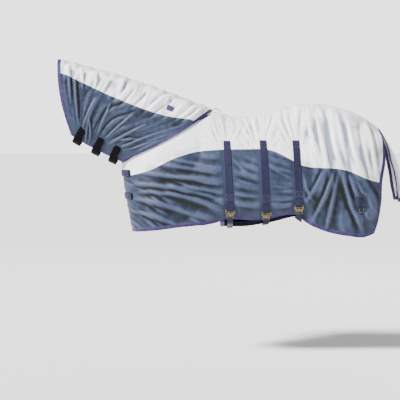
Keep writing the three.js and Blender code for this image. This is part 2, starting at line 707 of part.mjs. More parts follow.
const flap = latticeOf(range(0, flapColumns + 2), range(0, flapRows + 1), flapPlace, -1);
add(tail, "tail_flap", shell(flap, everyCell, 0, fabric), whiteCloth);
add(tail, "tail_flap_binding", shell(flap, edgeCells(flap), bindingLow, bindingHigh), bindingTape);

// --- Rings that hang from webbing loops: one at each hind leg and one at the withers. ---

const ringBar = 4;
const ringPlate = plateOf(roundedBox(-17, -26, 17, ringBar / 2, 5),
  [roundedBox(-13, -22, 13, -ringBar / 2, 3)], 3.4, -1.7);

function hangingRing(name, patch, place, material) {
  const holder = new THREE.Group();
  sheet.add(holder);
  const loop = loopRound(ringBar, 3.4, 0, 0, 22).applyMatrix4(place);
  add(sheet, `${name}_patch`, joined(patch, loop), material);
  add(holder, `${name}_ring`, ringPlate.clone().applyMatrix4(place), brass);
}

const legX = 0.858 * backLength;
const legZ = -0.795 * drop;
for (const [side, word] of [[-1, "left"], [1, "right"]]) {
  const low = fabric + 0.8;
  const patch = stripOn(side, [legX, legZ + 66], [legX, legZ + 3], 44, 2, low, low + webbing);
  hangingRing(`${word}_leg`, patch, standing(side, legX, legZ, fabric + 6.8), navyWebbing);
}

const tabX = 25; // the withers ring hangs here, clear of the neck cover when that lifts
const tabLift = 28;
const tabPlace = new THREE.Matrix4().makeBasis(new THREE.Vector3(0, -1, 0), new THREE.Vector3(1, 0, 0),
  new THREE.Vector3(0, 0, 1)).setPosition(tabX, 0, spine(tabX) + tabLift);
const tabPaths = [15, -15].map((y) => smoothPath([
  new THREE.Vector3(tabX + 78, y, spine(tabX + 78) + strapLow + 2),
  new THREE.Vector3(tabX + 36, y, spine(tabX + 36) + strapLow + 6),
  new THREE.Vector3(tabX + 4, y, spine(tabX) + tabLift - 5),
], 3));
hangingRing("withers", band(tabPaths, webbing), tabPlace, navyWebbing);

export default sheet;
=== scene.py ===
"""A horse's fly sheet: draped mesh panels, tape bindings, webbing, touch tape and brass clasps."""

import json
import math

import bpy
import numpy as np
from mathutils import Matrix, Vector


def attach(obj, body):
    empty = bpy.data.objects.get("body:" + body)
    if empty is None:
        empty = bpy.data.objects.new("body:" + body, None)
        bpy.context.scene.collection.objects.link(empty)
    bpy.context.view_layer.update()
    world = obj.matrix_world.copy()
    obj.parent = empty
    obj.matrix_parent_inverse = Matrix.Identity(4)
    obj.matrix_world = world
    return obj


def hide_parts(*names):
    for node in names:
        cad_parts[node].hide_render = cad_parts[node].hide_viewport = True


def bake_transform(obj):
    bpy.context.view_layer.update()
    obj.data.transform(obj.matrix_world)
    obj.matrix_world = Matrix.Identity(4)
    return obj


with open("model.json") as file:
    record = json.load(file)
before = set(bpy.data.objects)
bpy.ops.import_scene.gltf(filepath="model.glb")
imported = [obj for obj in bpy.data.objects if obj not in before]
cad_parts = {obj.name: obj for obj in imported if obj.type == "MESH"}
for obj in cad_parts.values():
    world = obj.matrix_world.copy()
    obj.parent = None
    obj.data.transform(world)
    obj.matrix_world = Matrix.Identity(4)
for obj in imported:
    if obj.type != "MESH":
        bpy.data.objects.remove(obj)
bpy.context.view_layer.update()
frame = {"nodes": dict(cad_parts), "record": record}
nodes = frame["nodes"]
MM = 0.001

# --- The form that carries the sheet, in millimetres, as the frame's solids are cut. ---

BACK = 1110.0  # withers to dock
CHEST = 600.0  # withers to the front of the chest
DROP = 785.0  # withers to the hem at the chest
BARREL = 630.0  # across the barrel
NECK = 1077.0  # withers to poll
NECK_DEPTH = 560.0
NECK_WIDTH = 380.0
POLL_WIDTH = 210.0
COVER_GAP = 11.0  # between the collar and the neck cover over it
TAPE = 24.0  # width of a binding
FRONT_GAP = 9.0  # half the gap between the front edges
SHOULDER = -0.5 * CHEST
RUMP = 0.8 * BACK
BUTTOCK = 105.0
CHEST_TOP = -0.412 * DROP
RAKE = 72.0
RISE = math.radians(22)
LEFT = np.array((0, -1, 0))
FRONT = np.array((-1, 0, 0))
BACKWARDS = np.array((1, 0, 0))
UP = np.array((0, 0, 1))
DOWN = np.array((0, 0, -1))


def mix(a, b, t):
    return a + (b - a) * t


def ease(low, high, value):
    t = np.clip((value - low) / (high - low), 0, 1)
    return t * t * (3 - 2 * t)


def through(points):
    """A smooth line through (place, value) points, read at any place."""
    xs, ys = np.array(points, float).T
    before = np.maximum(np.arange(len(xs)) - 1, 0)
    after = np.minimum(np.arange(len(xs)) + 1, len(xs) - 1)
    slopes = (ys[after] - ys[before]) / (xs[after] - xs[before])

    def read(place):
        at = np.clip(place, xs[0], xs[-1])
        k = np.clip(np.searchsorted(xs, at), 1, len(xs) - 1)
        width = xs[k] - xs[k - 1]
        t = (at - xs[k - 1]) / width
        return (
            (1 + 2 * t) * (1 - t) ** 2 * ys[k - 1]
            + t * (1 - t) ** 2 * width * slopes[k - 1]
            + t * t * (3 - 2 * t) * ys[k]
            + t * t * (t - 1) * width * slopes[k]
        )

    return read


def outline(points):
    return through([(u * (CHEST if u < 0 else BACK), v * DROP) for u, v in points])


spine = outline([(-1, -0.42), (-0.1, -0.025), (0, 0), (0.1, -0.039), (0.25, -0.042),
                 (0.34, -0.017), (0.4, 0.027), (0.49, 0.0585), (0.58, 0.0675), (0.67, 0.0585),
                 (0.76, 0.032), (0.85, -0.018), (0.925, -0.077), (1, -0.157)])
widest = outline([(-1, -0.56), (0, -0.55), (0.4, -0.54), (0.75, -0.43), (1, -0.46)])
girth = through([(-0.5 * CHEST, 0.78), (0, 0.9), (0.27 * BACK, 1), (0.5 * BACK, 0.96),
                 (0.77 * BACK, 0.91), (BACK, 0.87)])
tuck = through([(-CHEST, 0.1), (-0.1 * BACK, 0.2), (0.09 * BACK, 0.42), (0.45 * BACK, 0.42),
                (0.6 * BACK, 0.16), (BACK, 0.1)])
neckline = through([(-CHEST, CHEST_TOP), (-0.8 * CHEST, -0.31 * DROP), (-0.5 * CHEST, -0.17 * DROP),
                    (-0.2 * CHEST, -0.06 * DROP), (-0.08 * CHEST, -0.033 * DROP), (0, 0)])
seam_line = outline([(-1, -0.545), (-0.7, -0.485), (-0.42, -0.383), (-0.17, -0.327), (0.19, -0.307),
                     (0.333, -0.317), (0.464, -0.404), (0.532, -0.446), (0.755, -0.472), (0.9, -0.553),
                     (1, -0.59)])
hem_line = outline([(-0.9, -1), (-0.6, -0.972), (-0.3, -0.94), (0, -0.916), (0.09, -0.885),
                    (0.28, -0.889), (0.47, -0.842), (0.55, -0.915), (0.67, -0.985), (0.79, -1.018),
                    (0.88, -1.03), (1, -0.96)])
rear_line = through([(-1.02 * DROP, 0.925 * BACK), (-0.93 * DROP, 0.955 * BACK), (-0.8 * DROP, 0.975 * BACK),
                     (-0.55 * DROP, 0.985 * BACK), (-0.3 * DROP, 1.003 * BACK), (-0.155 * DROP, 0.99 * BACK)])
neck_girth = through([(-150, 0), (60, NECK_WIDTH / 2), (0.3 * NECK, 0.93 * NECK_WIDTH / 2),
                      (0.6 * NECK, mix(POLL_WIDTH, NECK_WIDTH, 0.35) / 2), (NECK, POLL_WIDTH / 2)])
neck_seam = through([(0, 0.17), (0.3, 0.25), (0.55, 0.28), (0.8, 0.26), (1, 0.18)])


def front_line(z):
    return -CHEST + RAKE * np.clip((CHEST_TOP - z) / (CHEST_TOP + DROP), 0, 1) ** 1.4


def crest(along):
    return COVER_GAP - 1 + 20 * (along / NECK) - 92 * (along / NECK) ** 2


def throat(along):
    return -NECK_DEPTH + 150 * (along / NECK) ** 4


def trunk_half(x, z):
    top, wide = spine(x), widest(x)
    above = np.sqrt(np.maximum(0, 1 - ((z - wide) / (top - wide)) ** 2))
    below = 1 - tuck(x) * ((wide - z) / (wide + DROP)) ** 2
    ends = np.ones_like(x)
    ends = np.where(x < SHOULDER, 1 - ((SHOULDER - x) / (SHOULDER - front_line(z))) ** 2, ends)
    ends = np.where(x > RUMP, 1 - ((x - RUMP) / (BACK + BUTTOCK - RUMP)) ** 2, ends)
    return BARREL / 2 * girth(x) * np.sqrt(np.maximum(0, ends)) * np.where(z >= wide, above, below)


def neck_half(x, z, grow):
    along = -x * math.cos(RISE) + z * math.sin(RISE)
    up = x * math.sin(RISE) + z * math.cos(RISE)
    top = crest(along) - COVER_GAP
    middle, half = (top + throat(along)) / 2, (top - throat(along)) / 2 + grow
    return (neck_girth(along) + grow) * np.sqrt(np.maximum(0, 1 - ((up - middle) / half) ** 2))


def half_width(x, z, grow=0.0):
    x, z = np.broadcast_arrays(np.asarray(x, float), np.asarray(z, float))
    trunk = np.maximum(0, trunk_half(x, z) + grow * (x < 0))
    return (trunk**4 + neck_half(x, z, grow) ** 4) ** 0.25


def on_form(side, x, z, grow=0.0):
    x, z = np.broadcast_arrays(np.asarray(x, float), np.asarray(z, float))
    return np.stack([x, side * half_width(x, z, grow), z], -1)


def unit(v):
    return v / np.maximum(np.linalg.norm(v, axis=-1, keepdims=True), 1e-9)


def form_normal(side, x, z, grow=0.0):
    step = 3.0
    slope_x = (half_width(x + step, z, grow) - half_width(x - step, z, grow)) / (2 * step)
    slope_z = (half_width(x, z + step, grow) - half_width(x, z - step, grow)) / (2 * step)
    return unit(np.stack([-slope_x, side * np.ones_like(slope_x), -slope_z], -1))


def lattice_normals(points, outwards):
    along = np.gradient(points, axis=0)
    down = np.gradient(points, axis=1)
    return unit(np.cross(along, down) * outwards)


# --- Lattices of the cloth: columns from head to tail, rows from the middle down. ---

FRONT_COLUMNS = 38
SIDE_COLUMNS = 136
UPPER_ROWS = 34
LOWER_ROWS = 44


def body_lattice(side):
    """The body sheet's one side, from the front edge to the rear edge and from spine to hem."""
    start = math.asin(FRONT_GAP / (0.39 * BARREL))
    angles = np.linspace(start, math.pi / 2, FRONT_COLUMNS + 1)
    shares = np.linspace(0, 1, SIDE_COLUMNS + 1)[1:]
    depths = [("upper", (k / UPPER_ROWS) ** 2) for k in range(UPPER_ROWS + 1)]
    depths += [("lower", k / LOWER_ROWS) for k in range(1, LOWER_ROWS + 1)]
    rows = []
    for part, depth in depths:
        def height(x, part=part, depth=depth):
            if part == "upper":
                top = np.where(x < 0, neckline(x), spine(x))
                return mix(top, seam_line(x), depth)
            return mix(seam_line(x), hem_line(x), depth)
        front = front_line(height(np.array(-0.95 * CHEST)))
        rear = rear_line(height(np.array(0.96 * BACK)))
        x = np.concatenate([SHOULDER - (SHOULDER - front) * np.cos(angles), mix(SHOULDER, rear, shares)])
        z = height(x)
        y = np.maximum(half_width(x, z), FRONT_GAP)
        y[0] = FRONT_GAP
        if part == "upper" and depth == 0:
            y[x >= 0] = 0
        rows.append(np.stack([x, side * y, z], -1))
    return np.stack(rows, 1)


NECK_COLUMNS = 104
NECK_UPPER_ROWS = 18
NECK_LOWER_ROWS = 44
THROAT_FRONT = (-0.864 * NECK, -0.141 * NECK)
THROAT_BACK = (-0.557 * NECK, -0.3 * NECK)


def neck_point(u, v):
    along = 3 + (NECK - 3) * (1 - u)
    top_x = -along * math.cos(RISE) + crest(along) * math.sin(RISE)
    top_z = along * math.sin(RISE) + crest(along) * math.cos(RISE)
    bulge = np.sin(np.pi * v)
    sag = 8 * np.sin(np.pi * u) * v
    x = mix(top_x, mix(THROAT_FRONT[0], THROAT_BACK[0], u), v) - (1 - u) * 22 * bulge
    z = mix(top_z, mix(THROAT_FRONT[1], THROAT_BACK[1], u), v) - u * 27 * bulge - sag
    return x, z


def neck_lattice(side):
    """The neck cover's one side, with each point's share of the way to the withers and to the throat."""
    u = np.linspace(0, 1, NECK_COLUMNS + 1)[:, None]
    t = np.arange(NECK_UPPER_ROWS + NECK_LOWER_ROWS + 1)[None, :]
    seam_at = neck_seam(u)
    upper = seam_at * (t / NECK_UPPER_ROWS) ** 2
    lower = mix(seam_at, 1, (t - NECK_UPPER_ROWS) / NECK_LOWER_ROWS)
    v = np.where(t <= NECK_UPPER_ROWS, upper, lower)
    x, z = neck_point(u, v)
    y = half_width(x, z, COVER_GAP)
    y[:, 0] = 0
    return u + 0 * v, v, np.stack([x, side * y, z], -1)


# --- Meshes. ---

CLOTH = 1.3  # thickness of the mesh, in millimetres
SOFT_ANGLE = math.radians(50)  # edges sharper than this stay sharp


def use(piece):
    bpy.ops.object.select_all(action="DESELECT")
    piece.select_set(True)
    bpy.context.view_layer.objects.active = piece


def mesh_piece(name, points, faces, uv=None):
    """A new piece from points in millimetres; uv is each point's place on the flat cloth, in metres."""
    mesh = bpy.data.meshes.new(name)
    mesh.from_pydata((np.asarray(points) * MM).tolist(), [], [list(map(int, f)) for f in faces])
    piece = bpy.data.objects.new(name, mesh)
    bpy.context.scene.collection.objects.link(piece)
    if uv is not None:
        layer = mesh.uv_layers.new(name="cloth")
        corners = np.empty(len(mesh.loops), int)
        mesh.loops.foreach_get("vertex_index", corners)
        layer.data.foreach_set("uv", np.asarray(uv)[corners].astype(np.float32).ravel())
    return piece


def lattice_faces(columns, rows, outwards):
    i, j = np.meshgrid(np.arange(columns - 1), np.arange(rows - 1), indexing="ij")
    a = (i * rows + j).ravel()
    quads = np.stack([a, a + 1, a + rows + 1, a + rows], -1)
    return quads if outwards < 0 else quads[:, ::-1]


def flat_places(points):
    """Each lattice point's place on the flat cloth, in metres: along the rows and down the columns."""
    along = np.linalg.norm(np.diff(points, axis=0), axis=-1).cumsum(0)
    down = np.linalg.norm(np.diff(points, axis=1), axis=-1).cumsum(1)
    u = np.concatenate([np.zeros((1, points.shape[1])), along])
    v = np.concatenate([np.zeros((points.shape[0], 1)), down], 1)
    return np.stack([u, v], -1) * MM


def change(piece, kind, **settings):
    """Applies a modifier to the piece in use."""
    modifier = piece.modifiers.new("change", kind)
    for name, value in settings.items():
        setattr(modifier, name, value)
    bpy.ops.object.modifier_apply(modifier=modifier.name)


def ridges(lift):
    """How far each point stands up from the cloth around it, from 0 to 1."""
    around = lift.copy()
    for _ in range(24):
        padded = np.pad(around, 1, mode="edge")
        around = (padded[:-2, 1:-1] + padded[2:, 1:-1] + padded[1:-1, :-2] + padded[1:-1, 2:]) / 4
    # The result is the mask for painted shade in the valleys and painted highlight on the ridges.
    return 0.5 + 0.5 * np.tanh((lift - around) / 8)


def cloth_piece(name, points, outwards, material, depth):
    """A sheet of cloth on a lattice. depth is how far each point stands up: 0 in a valley, 1 on a ridge; it
    is stored as the mask for the painted shade and painted highlight of the folds.
    """
    columns, rows = points.shape[:2]
    faces = lattice_faces(columns, rows, outwards)
    piece = mesh_piece(name, points.reshape(-1, 3), faces, flat_places(points).reshape(-1, 2))
    # Mask for the painted shade in the valleys and the painted highlight on the ridges of the folds.
    layer = piece.data.attributes.new("painted_fold_shading", "FLOAT", "POINT")
    layer.data.foreach_set("value", np.asarray(depth, np.float32).ravel())
    use(piece)
    change(piece, "SUBSURF", levels=1, render_levels=1)
    change(piece, "SOLIDIFY", thickness=CLOTH * MM, offset=0)
    bpy.ops.object.shade_smooth_by_angle(angle=SOFT_ANGLE)
    piece.data.materials.append(material)
    return piece


def slab(name, low, high, material):
    """A tape or strap: a closed solid between two lattices that run along it and across it."""
    columns, rows = low.shape[:2]
    points = np.concatenate([low.reshape(-1, 3), high.reshape(-1, 3)])
    index = np.arange(columns * rows).reshape(columns, rows)
    upper = index + columns * rows
    faces = [np.stack([n[:-1, :-1], n[:-1, 1:], n[1:, 1:], n[1:, :-1]], -1).reshape(-1, 4)[:, ::turn]
             for n, turn in ((index, 1), (upper, -1))]
    rim = np.concatenate([index[:, 0], index[-1, 1:], index[-2::-1, -1], index[0, -2:0:-1]])
    after = np.roll(rim, -1)
    faces.append(np.stack([rim, after, after + columns * rows, rim + columns * rows], -1)[:, ::-1])
    flat = flat_places(high)
    uv = np.concatenate([flat.reshape(-1, 2)] * 2)
    piece = mesh_piece(name, points, np.concatenate(faces), uv)
    use(piece)
    bpy.ops.object.mode_set(mode="EDIT")
    bpy.ops.mesh.select_all(action="SELECT")
    bpy.ops.mesh.normals_make_consistent(inside=False)
    bpy.ops.object.mode_set(mode="OBJECT")
    change(piece, "SUBSURF", levels=1, render_levels=1)
    bpy.ops.object.shade_smooth_by_angle(angle=SOFT_ANGLE)
    piece.data.materials.append(material)
    return piece


def lattice_up(points, towards, place=None):
    """A lattice's normals, turned the way that towards says, on the whole or at one place."""
    normals = unit(np.cross(np.gradient(points, axis=0), np.gradient(points, axis=1)))
    turned = (normals * towards).sum(-1)
    agrees = turned.mean() if place is None else turned[place]
    return normals * (1 if agrees > 0 else -1)


def sew(piece, lines, pitch=7.0, length=5.0, radius=0.6):
    """Sews rows of stitches on to a piece. A line is a run of points on its surface, in millimetres."""
    points, faces = [], []
    for line in lines:
        steps = np.linalg.norm(np.diff(line, axis=0), axis=-1).cumsum()
        steps = np.concatenate([[0], steps])
        count = max(1, int(steps[-1] / pitch))
        middles = (np.arange(count) + 0.5) * steps[-1] / count
        for middle in middles:
            centre, ahead = (np.array([np.interp(at, steps, line[:, k]) for k in range(3)])
                             for at in (middle, middle + 0.5))
            along = unit(ahead - centre)
            side = unit(np.cross(along, (0.31, 0.2, 0.93)))
            rise = np.cross(along, side)
            base = len(points)
            points.append(centre - along * length / 2)
            for place in (-0.28, 0.28):
                for turn in range(4):
                    angle = turn * math.pi / 2
                    points.append(centre + along * place * length
                                  + radius * (side * math.cos(angle) + rise * math.sin(angle)))
            points.append(centre + along * length / 2)
            for turn in range(4):
                after = (turn + 1) % 4
                faces.append((base, base + 1 + after, base + 1 + turn))
                faces.append((base + 1 + turn, base + 1 + after, base + 5 + after, base + 5 + turn))
                faces.append((base + 9, base + 5 + turn, base + 5 + after))
    if not points:
        return
    thread = mesh_piece("stitches", points, faces, np.array(points)[:, [0, 2]] * MM)
    thread.data.materials.append(sewing_thread)
    use(piece)
    thread.select_set(True)
    bpy.ops.object.join()


def inner_line(lattice, depth):
    """How many lines in a place lies that is depth millimetres from the lattice's first line."""
    steps = np.linalg.norm(np.diff(lattice, axis=0), axis=-1).cumsum(0)
    steps = np.concatenate([np.zeros((1, lattice.shape[1])), steps])
    lines = np.arange(len(lattice))
    if depth < 0:
        return depth / np.maximum(steps[1], 1e-6)
    return np.array([np.interp(depth, steps[:, k], lines) for k in range(lattice.shape[1])])


def sample(lattice, i, j):
    """A lattice's points at places between its lines, or a little outside it."""
    ci = np.clip(np.floor(i).astype(int), 0, lattice.shape[0] - 2)
    cj = np.clip(np.floor(j).astype(int), 0, lattice.shape[1] - 2)
    s, t = (i - ci)[..., None], (j - cj)[..., None]
    return ((1 - s) * (1 - t) * lattice[ci, cj] + s * (1 - t) * lattice[ci + 1, cj]
            + (1 - s) * t * lattice[ci, cj + 1] + s * t * lattice[ci + 1, cj + 1])


BINDING_DEPTHS = (-1.4, -0.6, 4.0, 12.0, 20.0, TAPE - 1, TAPE)


def edge_lattice(cloth, depths=BINDING_DEPTHS):
    """A tape's lattice along one side of a cloth, its last row, and its other side."""
    columns, rows = cloth.shape[:2]
    lines = []
    for depth in depths:
        front = inner_line(cloth, depth)
        rear = columns - 1 - inner_line(cloth[::-1], depth)
        low = rows - 1 - inner_line(cloth[:, ::-1].transpose(1, 0, 2), depth)
        down, across, up = np.arange(rows), np.arange(columns), np.arange(rows)[::-1]
        i = np.concatenate([front[down], np.clip(across, front[-1], rear[-1])[1:-1], rear[up]])
        j = np.concatenate([np.minimum(down, low[0]), low[across][1:-1], np.minimum(up, low[-1])])
        lines.append(sample(cloth, i.astype(float), j.astype(float)))
    return np.stack(lines, 1)


def line_lattice(cloth, depths=BINDING_DEPTHS):
    """A tape's lattice along a cloth's first line."""
    return np.stack([sample(cloth, inner_line(cloth, d), np.arange(cloth.shape[1], dtype=float))
                     for d in depths], 1)


def folded_tape(name, lattice, towards):
    """Tape folded over an edge and sewn through, clear of the cloth on both sides."""
    up = lattice_up(lattice, towards)
    clear = np.array([0.5, 1.5] + [1.7] * (lattice.shape[1] - 4) + [1.6, 0.9])[:, None]
    piece = slab(name, lattice - up * clear, lattice + up * clear, edge_tape)
    sew(piece, [(lattice + up * 1.75)[:, 4]])
    return piece


def binding(name, lattice, towards, body, *replaced):
    piece = folded_tape(name, lattice, towards)
    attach(piece, body)
    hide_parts(*replaced)


def smooth_run(points, count):
    """Points spaced evenly along a smooth line through the given ones."""
    points = np.asarray(points, float)
    steps = np.concatenate([[0], np.cumsum(np.linalg.norm(np.diff(points, axis=0), axis=-1) ** 0.5)])
    places = np.linspace(0, steps[-1], 400)
    fine = np.stack([through(list(zip(steps, points[:, k])))(places) for k in range(3)], -1)
    run = np.concatenate([[0], np.cumsum(np.linalg.norm(np.diff(fine, axis=0), axis=-1))])
    places = np.linspace(0, run[-1], count)
    return np.stack([np.interp(places, run, fine[:, k]) for k in range(3)], -1)


# --- Folds. The cloth lies in ridges and valleys, which are laid out on the form in millimetres. ---

STRAP = 46.0
STRAP_LEAN = 22.0
STRAP_X = (0.078 * BACK, 0.288 * BACK, 0.478 * BACK)
STRAP_TOP = (-0.24 * DROP, -0.235 * DROP, -0.235 * DROP)
CLASP_Z = (-0.8 * DROP, -0.815 * DROP, -0.765 * DROP)
CHEST_Z = (-0.51 * DROP, -0.7 * DROP)
LEG_X = 0.858 * BACK
LEG_Z = -0.795 * DROP
THROAT_U = (0.13, 0.5, 0.84)
LABEL_AT = (0.794, 0.159)  # shares of the neck, from the face and from the crest
SIDE_DEPTH = 470.0  # the neck cover's usual depth from crest to throat


def rolls(phase, step, seed, sharp=0.45):
    """Ridges and valleys across a phase in millimetres, of uneven widths and heights between 0 and 1."""
    draw = np.random.default_rng(seed)
    low, high = phase.min() - 2 * step, phase.max() + 2 * step
    count = int((high - low) / step * 2) + 6
    knots = low + np.cumsum(draw.uniform(0.32, 0.72, count) * step)
    heights = np.where(np.arange(count) % 2, draw.uniform(0.35, 1, count), draw.uniform(0, 0.22, count))
    k = np.clip(np.searchsorted(knots, phase), 1, count - 1)
    t = np.clip((phase - knots[k - 1]) / (knots[k] - knots[k - 1]), 0, 1)
    t = 0.5 - 0.5 * np.cos(np.pi * t)
    return (heights[k - 1] * (1 - t) + heights[k] * t) ** sharp


def drift(x, z, size, seed):
    """A slow wander over the cloth, between -1 and 1, with features about size millimetres across."""
    draw = np.random.default_rng(seed)
    total = np.zeros_like(x)
    for _ in range(7):
        turn, shift = draw.uniform(0, 2 * np.pi, 2)
        pitch = 2 * np.pi / (size * draw.uniform(1.2, 2.6))
        total += np.sin(pitch * (x * np.cos(turn) + z * np.sin(turn)) + shift)
    return np.tanh(total / 2.2)


def fan(x, z, centre, reach):
    """A phase whose folds run out from a centre. They have their true width at reach millimetres from it."""
    return np.arctan2(x - centre[0], np.abs(z - centre[1]) + 1e-6) * reach


def near(value, low, high, edge):
    """1 between low and high, falling to 0 over an edge on each side."""
    return ease(low - edge, low, value) * (1 - ease(high, high + edge, value))


def crease(x, z, start, end, width, height, bow=0.0):
    """One bowed ridge between two places, widest in its middle, that dies away at its ends."""
    (ax, az), (bx, bz) = start, end
    length = math.hypot(bx - ax, bz - az)
    along = ((x - ax) * (bx - ax) + (z - az) * (bz - az)) / length**2
    side = ((x - ax) * (bz - az) - (z - az) * (bx - ax)) / length
    side = side - bow * 4 * along * (1 - along)
    inside = np.clip(along, 0, 1)
    taper = np.sin(np.pi * inside) ** 0.6 * (along > 0) * (along < 1)
    spread = width * (0.55 + 0.45 * np.sin(np.pi * inside))
    ridge = np.exp(-((side / spread) ** 2)) - 0.45 * np.exp(-(((side - 1.7 * spread) / spread) ** 2))
    return height * taper * ridge


# Creases on the body sheet: start, end, width, height and bow.
BODY_CREASES = [
    ((-520, -395), (40, -470), 13, 8, -14), ((-420, -330), (45, -405), 11, 6, -8),
    ((-300, -300), (50, -372), 10, 5, -6), ((-540, -470), (40, -560), 14, 10, -26),
    ((-500, -520), (50, -618), 14, 9, -34), ((-545, -560), (-60, -700), 15, 9, -24),
    ((-540, -640), (-200, -745), 14, 8, -12), ((-260, -480), (55, -520), 10, 6, -8),
    ((-200, -560), (60, -640), 10, 7, -10), ((-330, -420), (30, -440), 10, 6, -8),
    ((130, -300), (250, -420), 9, 4, 8), ((120, -420), (300, -470), 9, 4, 8),
    ((120, -520), (300, -545), 9, 4, 6), ((125, -590), (310, -610), 8, 5, 6),
    ((340, -330), (490, -420), 9, 4, 8), ((350, -470), (520, -480), 9, 4, 8),
    ((350, -560), (530, -555), 9, 5, 8), ((360, -620), (540, -590), 8, 5, 6),
    ((560, -360), (640, -575), 12, 9, 8), ((700, -380), (585, -590), 13, 10, -12),
    ((770, -390), (640, -700), 13, 10, -10), ((800, -385), (725, -770), 13, 8, -6),
    ((830, -390), (965, -770), 15, 13, 12), ((870, -400), (1010, -700), 14, 12, 10),
    ((920, -440), (1045, -640), 12, 9, 6), ((560, -470), (600, -590), 11, 9, 6),
    ((600, -330), (570, -200), 10, 4, 4), ((612, -30), (690, -350), 13, 6, 8),
    ((668, -10), (735, -340), 12, 6, 8), ((745, -20), (828, -370), 13, 7, 8),
    ((800, 0), (872, -390), 12, 6, 6), ((868, -40), (950, -400), 14, 8, 8),
    ((950, -90), (1015, -420), 12, 6, 6), ((1015, -160), (1060, -430), 11, 6, 4),
    ((20, -30), (62, -190), 8, 5, 4), ((50, -40), (78, -190), 7, 5, 2),
    ((128, -50), (98, -190), 8, 5, -4), ((-10, -60), (45, -195), 8, 4, 4),
    ((185, -60), (118, -200), 8, 4, -6), ((262, -50), (300, -185), 9, 5, 4),
    ((330, -30), (318, -185), 8, 5, -2), ((402, -10), (338, -195), 10, 6, -6),
    ((455, 20), (520, -185), 10, 6, 6), ((500, 40), (534, -180), 9, 6, 4),
    ((585, 40), (556, -180), 10, 6, -4), ((545, -240), (430, -300), 10, 5, 6),
]

# Creases on the neck cover, as shares from the face to the withers and from the crest to the throat.
NECK_CREASES = [
    ((0.07, 0.02), (0.10, 0.55), 11, 9, 4), ((0.12, 0.16), (0.17, 0.78), 12, 12, 4),
    ((0.15, 0.02), (0.19, 0.30), 10, 9, 3), ((0.25, 0.02), (0.27, 0.26), 11, 9, 3),
    ((0.34, 0.04), (0.33, 0.27), 9, 6, 3), ((0.43, 0.03), (0.44, 0.26), 12, 11, 3),
    ((0.52, 0.04), (0.53, 0.26), 9, 7, 3), ((0.60, 0.04), (0.64, 0.25), 9, 7, 2),
    ((0.73, 0.05), (0.78, 0.24), 9, 8, 2), ((0.82, 0.05), (0.86, 0.2), 8, 6, 2),
    ((0.20, 0.95), (0.30, 0.35), 11, 9, -6), ((0.42, 0.95), (0.42, 0.34), 12, 9, -6),
    ((0.50, 0.96), (0.62, 0.36), 11, 9, -6), ((0.56, 0.97), (0.76, 0.42), 11, 9, -8),
    ((0.70, 0.97), (0.88, 0.48), 10, 8, -6), ((0.80, 0.97), (0.95, 0.55), 9, 7, -4),
    ((0.28, 0.60), (0.36, 0.92), 11, 8, 4), ((0.60, 0.78), (0.86, 0.60), 9, 6, -4),
]


def body_folds(side, x, z, y):
    """How far the body sheet stands off the form, in millimetres."""
    seed = 20 if side < 0 else 60
    low = ease(seam_line(x) + 30, seam_line(x) - 70, z)
    up = 1 - low
    wander = drift(x, z, 260, seed + 1)
    strength = 0.55 + 0.45 * drift(x, z, 170, seed + 2)
    # The folds fan out at the shoulder, run along the barrel and hang from the croup.
    lean = (55 - np.minimum(x, 55)) ** 1.2
    front = (z - 0.011 * lean) / (1 - 0.000175 * lean)
    shoulder = strength * low * (1 - ease(30, 90, x))
    lift = 13 * rolls(front + 26 * wander, 62, seed + 3, 0.8) * shoulder
    lift += 5 * rolls(front + 18 * wander, 40, seed + 4, 1) * shoulder
    middle = z + 0.3 * (x - 200) * ease(-720, -330, z) + 24 * wander
    lift += 12 * rolls(middle, 58, seed + 5, 0.8) * strength * low * near(x, 70, 545, 40)
    rear = fan(x, z, (805, -120), 440) + 26 * wander
    thigh = strength * low * ease(535, 600, x)
    lift += 19 * rolls(rear, 70, seed + 6, 0.6) * thigh
    lift += 6 * rolls(rear, 40, seed + 7, 1) * thigh
    hang = x + 0.17 * z + 16 * wander
    croup = strength * up * ease(560, 660, x) * ease(-10, 90, spine(x) - z)
    lift += 24 * rolls(hang, 84, seed + 8, 0.6) * croup
    lift += 6 * rolls(hang, 40, seed + 9, 1) * croup
    # Rays run up from where each strap is sewn on.
    over = up * ease(0, 60, np.abs(y)) * strength
    for centre, first, last in (((78, -330), -60, 190), ((308, -330), 215, 415), ((545, -330), 440, 640)):
        ray = fan(x, z, centre, 210) + 5 * wander
        lift += 13 * rolls(ray, 40, seed + 10 + first % 7, 0.8) * near(x, first, last, 40) * over
    for k, (start, end, width, height, bow) in enumerate(BODY_CREASES):
        jitter = np.random.default_rng(seed * 50 + k).uniform(-1, 1, 4) * (0 if side < 0 else 16)
        lift += crease(x, z, (start[0] + jitter[0], start[1] + jitter[1]),
                       (end[0] + jitter[2], end[1] + jitter[3]), width, height * 1.3, bow)
    lift += 0.8 * drift(x, z, 26, seed + 11)
    return np.maximum(lift * body_freedom(side, x, z, y), 0)


